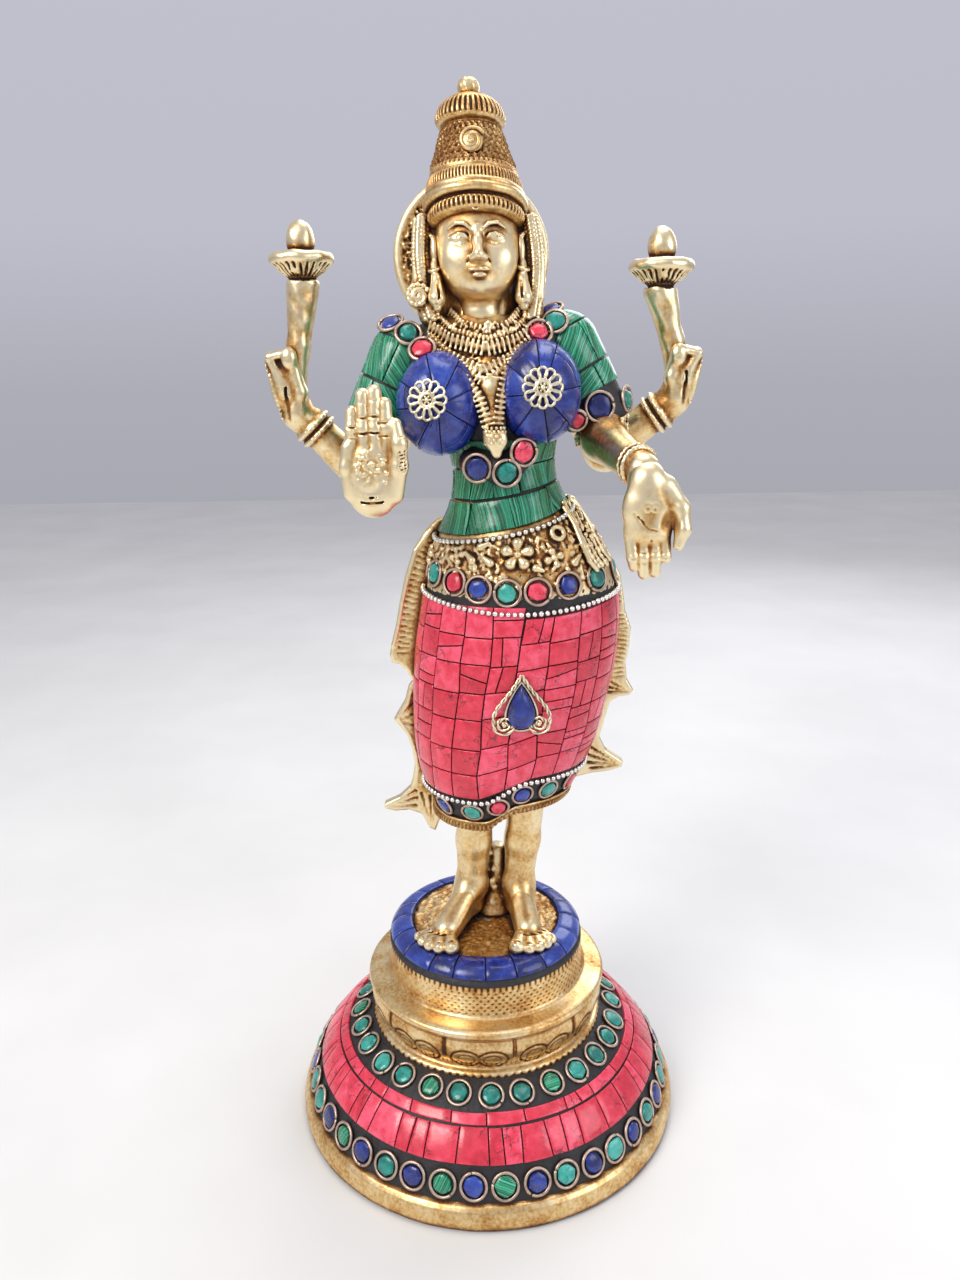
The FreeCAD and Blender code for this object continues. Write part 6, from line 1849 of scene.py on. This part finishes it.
profile = [(9.0, 6.0), (12.8, 7.6), (13.7, 8.2), (14.1, 9.6), (13.8, 11.2), (12.9, 11.7), (12.9, 12.0),
           (14.5, 12.2), (15.1, 13.2), (14.9, 14.2),
           (14.1, 14.7), (14.4, 15.1), (14.2, 15.7), (13.7, 16.0), (13.6, 17.6), (13.0, 19.0), (12.4, 19.2),
           (12.7, 19.8), (12.0, 21.4), (10.7, 25.0),
           (9.4, 29.0), (8.5, 31.6), (8.0, 32.1), (8.2, 32.5), (9.3, 32.9), (9.9, 34.0), (9.8, 35.2),
           (9.0, 37.2), (7.6, 39.0), (5.6, 40.2), (3.2, 40.7),
           (2.2, 41.0), (2.2, 41.5), (2.9, 42.2), (3.2, 43.4), (2.8, 44.8), (1.6, 45.8), (0.1, 46.1)]
cut = smooth_profile(profile, 0.34, 2)
points, quads = lathe(cut, CROWN_STEPS, crown_relief)
turn = np.arctan2(points[:, 1], points[:, 0])
front = (np.cos(turn + math.pi / 2) + 1) / 2
fade = np.clip((22.0 - points[:, 2]) / 12.0, 0, 1)
points[:, 2] -= fade * (1 - front) * 5.0
points[:, 1] = np.where(points[:, 1] > 0, points[:, 1] * 0.72, points[:, 1]) + 1.6
heap = Heap()
heap.add(leaned(points), quads)
side = leaned(np.array([[0.0, -9.6, 25.4]]))[0]
e1, e2, normal = frame_of((-0.03, -0.95, 0.22))
coil = []
for k in range(58):
    a, r = 0.5 + k * 0.21, 3.5 - k * 0.058
    coil.append(side + r * (math.cos(a) * e1 + math.sin(a) * e2) + normal * (0.6 + k * 0.012))
add_tube(heap, coil, 0.62, 8)
add_bead(heap, side + normal * 0.2, 3.2, normal=normal, squash=0.42, sides=20, rows=10)
heap.piece("crown_tiers", RELIEF_BRASS, "cast_brass", ("crown",))

halo = Clay((-27, 9, 257), (25, 19, 310), 0.40)
centre = (-1.3, 13.2, 283.6)


def disc(x, y, z):
    r = np.sqrt((x - centre[0]) ** 2 + (z - centre[2]) ** 2)
    a, b = r - 22.6, np.abs(y - centre[1]) - 1.3
    return np.sqrt(np.maximum(a + 0.8, 0) ** 2
                   + np.maximum(b + 0.8, 0) ** 2) + np.minimum(np.maximum(a, b) + 0.8, 0) - 0.8


halo.put((-26, 10, 258), (24, 17, 309), disc)
halo.ring(centre, (0, 1, 0), 21.9, 1.45, 0.5)
for _ in range(3000):
    a, r = chance.uniform(0, 6.283), 20.2 * math.sqrt(chance.uniform(0.0, 1))
    face = chance.choice((-1, 1))
    halo.ball((centre[0] + r * math.cos(a), centre[1] + face * 1.35, centre[2] + r * math.sin(a)),
              chance.uniform(0.3, 0.66), 0.2,
              chance.choice(("add", "cut", "cut")))
halo.piece("halo_plate", SPECKLED_BRASS, "rough_brass", ("halo_disc",))


for name in ("fixing_stud", "fixing_washer", "fixing_nut"):
    for obj in [o for o in bpy.data.objects if o.type == "MESH" and o.name.startswith(name)]:
        obj.data.materials.clear()
        obj.data.materials.append(STEEL)

# --- Floor, light and camera ---
mesh = bpy.data.meshes.new("floor")
half = 1.6
mesh.from_pydata([(-half, -half, 0), (half, -half, 0), (half, half, 0), (-half, half, 0)], [], [(0, 1, 2, 3)])
mesh.materials.append(floor_material())
floor = bpy.data.objects.new("floor", mesh)
bpy.context.scene.collection.objects.link(floor)
floor.location.z = -0.0002


def softbox(name, at, aim, size, power, tint):
    data = bpy.data.lights.new(name, "AREA")
    data.shape, data.size, data.energy, data.color = "DISK", size, power, tint
    lamp = bpy.data.objects.new(name, data)
    lamp.location = at
    lamp.rotation_euler = (Vector(aim) - Vector(at)).to_track_quat("-Z", "Y").to_euler()
    bpy.context.scene.collection.objects.link(lamp)


softbox("key", (-0.55, -0.55, 0.75), (0, 0, 0.15), 0.50, 6.4, (1.0, 0.95, 0.88))
softbox("fill", (0.70, -0.45, 0.45), (0, 0, 0.15), 0.6, 2.2, (0.93, 0.95, 1.0))
softbox("top", (0.1, 0.15, 1.0), (0, 0, 0.1), 0.6, 3.2, (1.0, 1.0, 1.0))
softbox("back", (0.35, 0.7, 0.6), (0, 0, 0.18), 0.6, 2.4, (0.95, 0.96, 1.0))
world = bpy.data.worlds.new("room")
world.use_nodes = True
bpy.context.scene.world = world
tree = world.node_tree
tree.nodes.clear()
w_out = node(tree, "ShaderNodeOutputWorld")
w_bg = node(tree, "ShaderNodeBackground", {"Strength": 0.70})
w_place = node(tree, "ShaderNodeTexCoord").outputs["Generated"]
w_split = node(tree, "ShaderNodeSeparateXYZ")
tree.links.new(w_place, w_split.inputs[0])
w_ramp = ramp(tree, [(0.0, (0.30, 0.30, 0.29)), (0.49, (0.60, 0.60, 0.68)), (0.56, (0.74, 0.74, 0.86)),
                     (1.0, (0.82, 0.82, 0.90))],
              plus(tree, times(tree, w_split.outputs["Z"], 0.5), 0.5))
tree.links.new(w_ramp, w_bg.inputs["Color"])
tree.links.new(w_bg.outputs[0], w_out.inputs["Surface"])

camera_data = bpy.data.cameras.new("camera")
camera_data.sensor_width, camera_data.lens = 36.0, 27.2
camera = bpy.data.objects.new("camera", camera_data)
camera.location = (-0.0004, -0.2974, 0.2529)
LOOK_DOWN, ROLL = 16.0, -0.87  # degrees
camera.rotation_mode = "QUATERNION"
aim = Matrix.Rotation(math.radians(90 - LOOK_DOWN), 4, "X") @ Matrix.Rotation(math.radians(ROLL), 4, "Z")
camera.rotation_quaternion = aim.to_quaternion()
bpy.context.scene.collection.objects.link(camera)
bpy.context.scene.camera = camera
bpy.context.scene.view_settings.view_transform = "Standard"

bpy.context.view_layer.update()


def plain(box):
    return [[float(v) for v in corner] for corner in box]
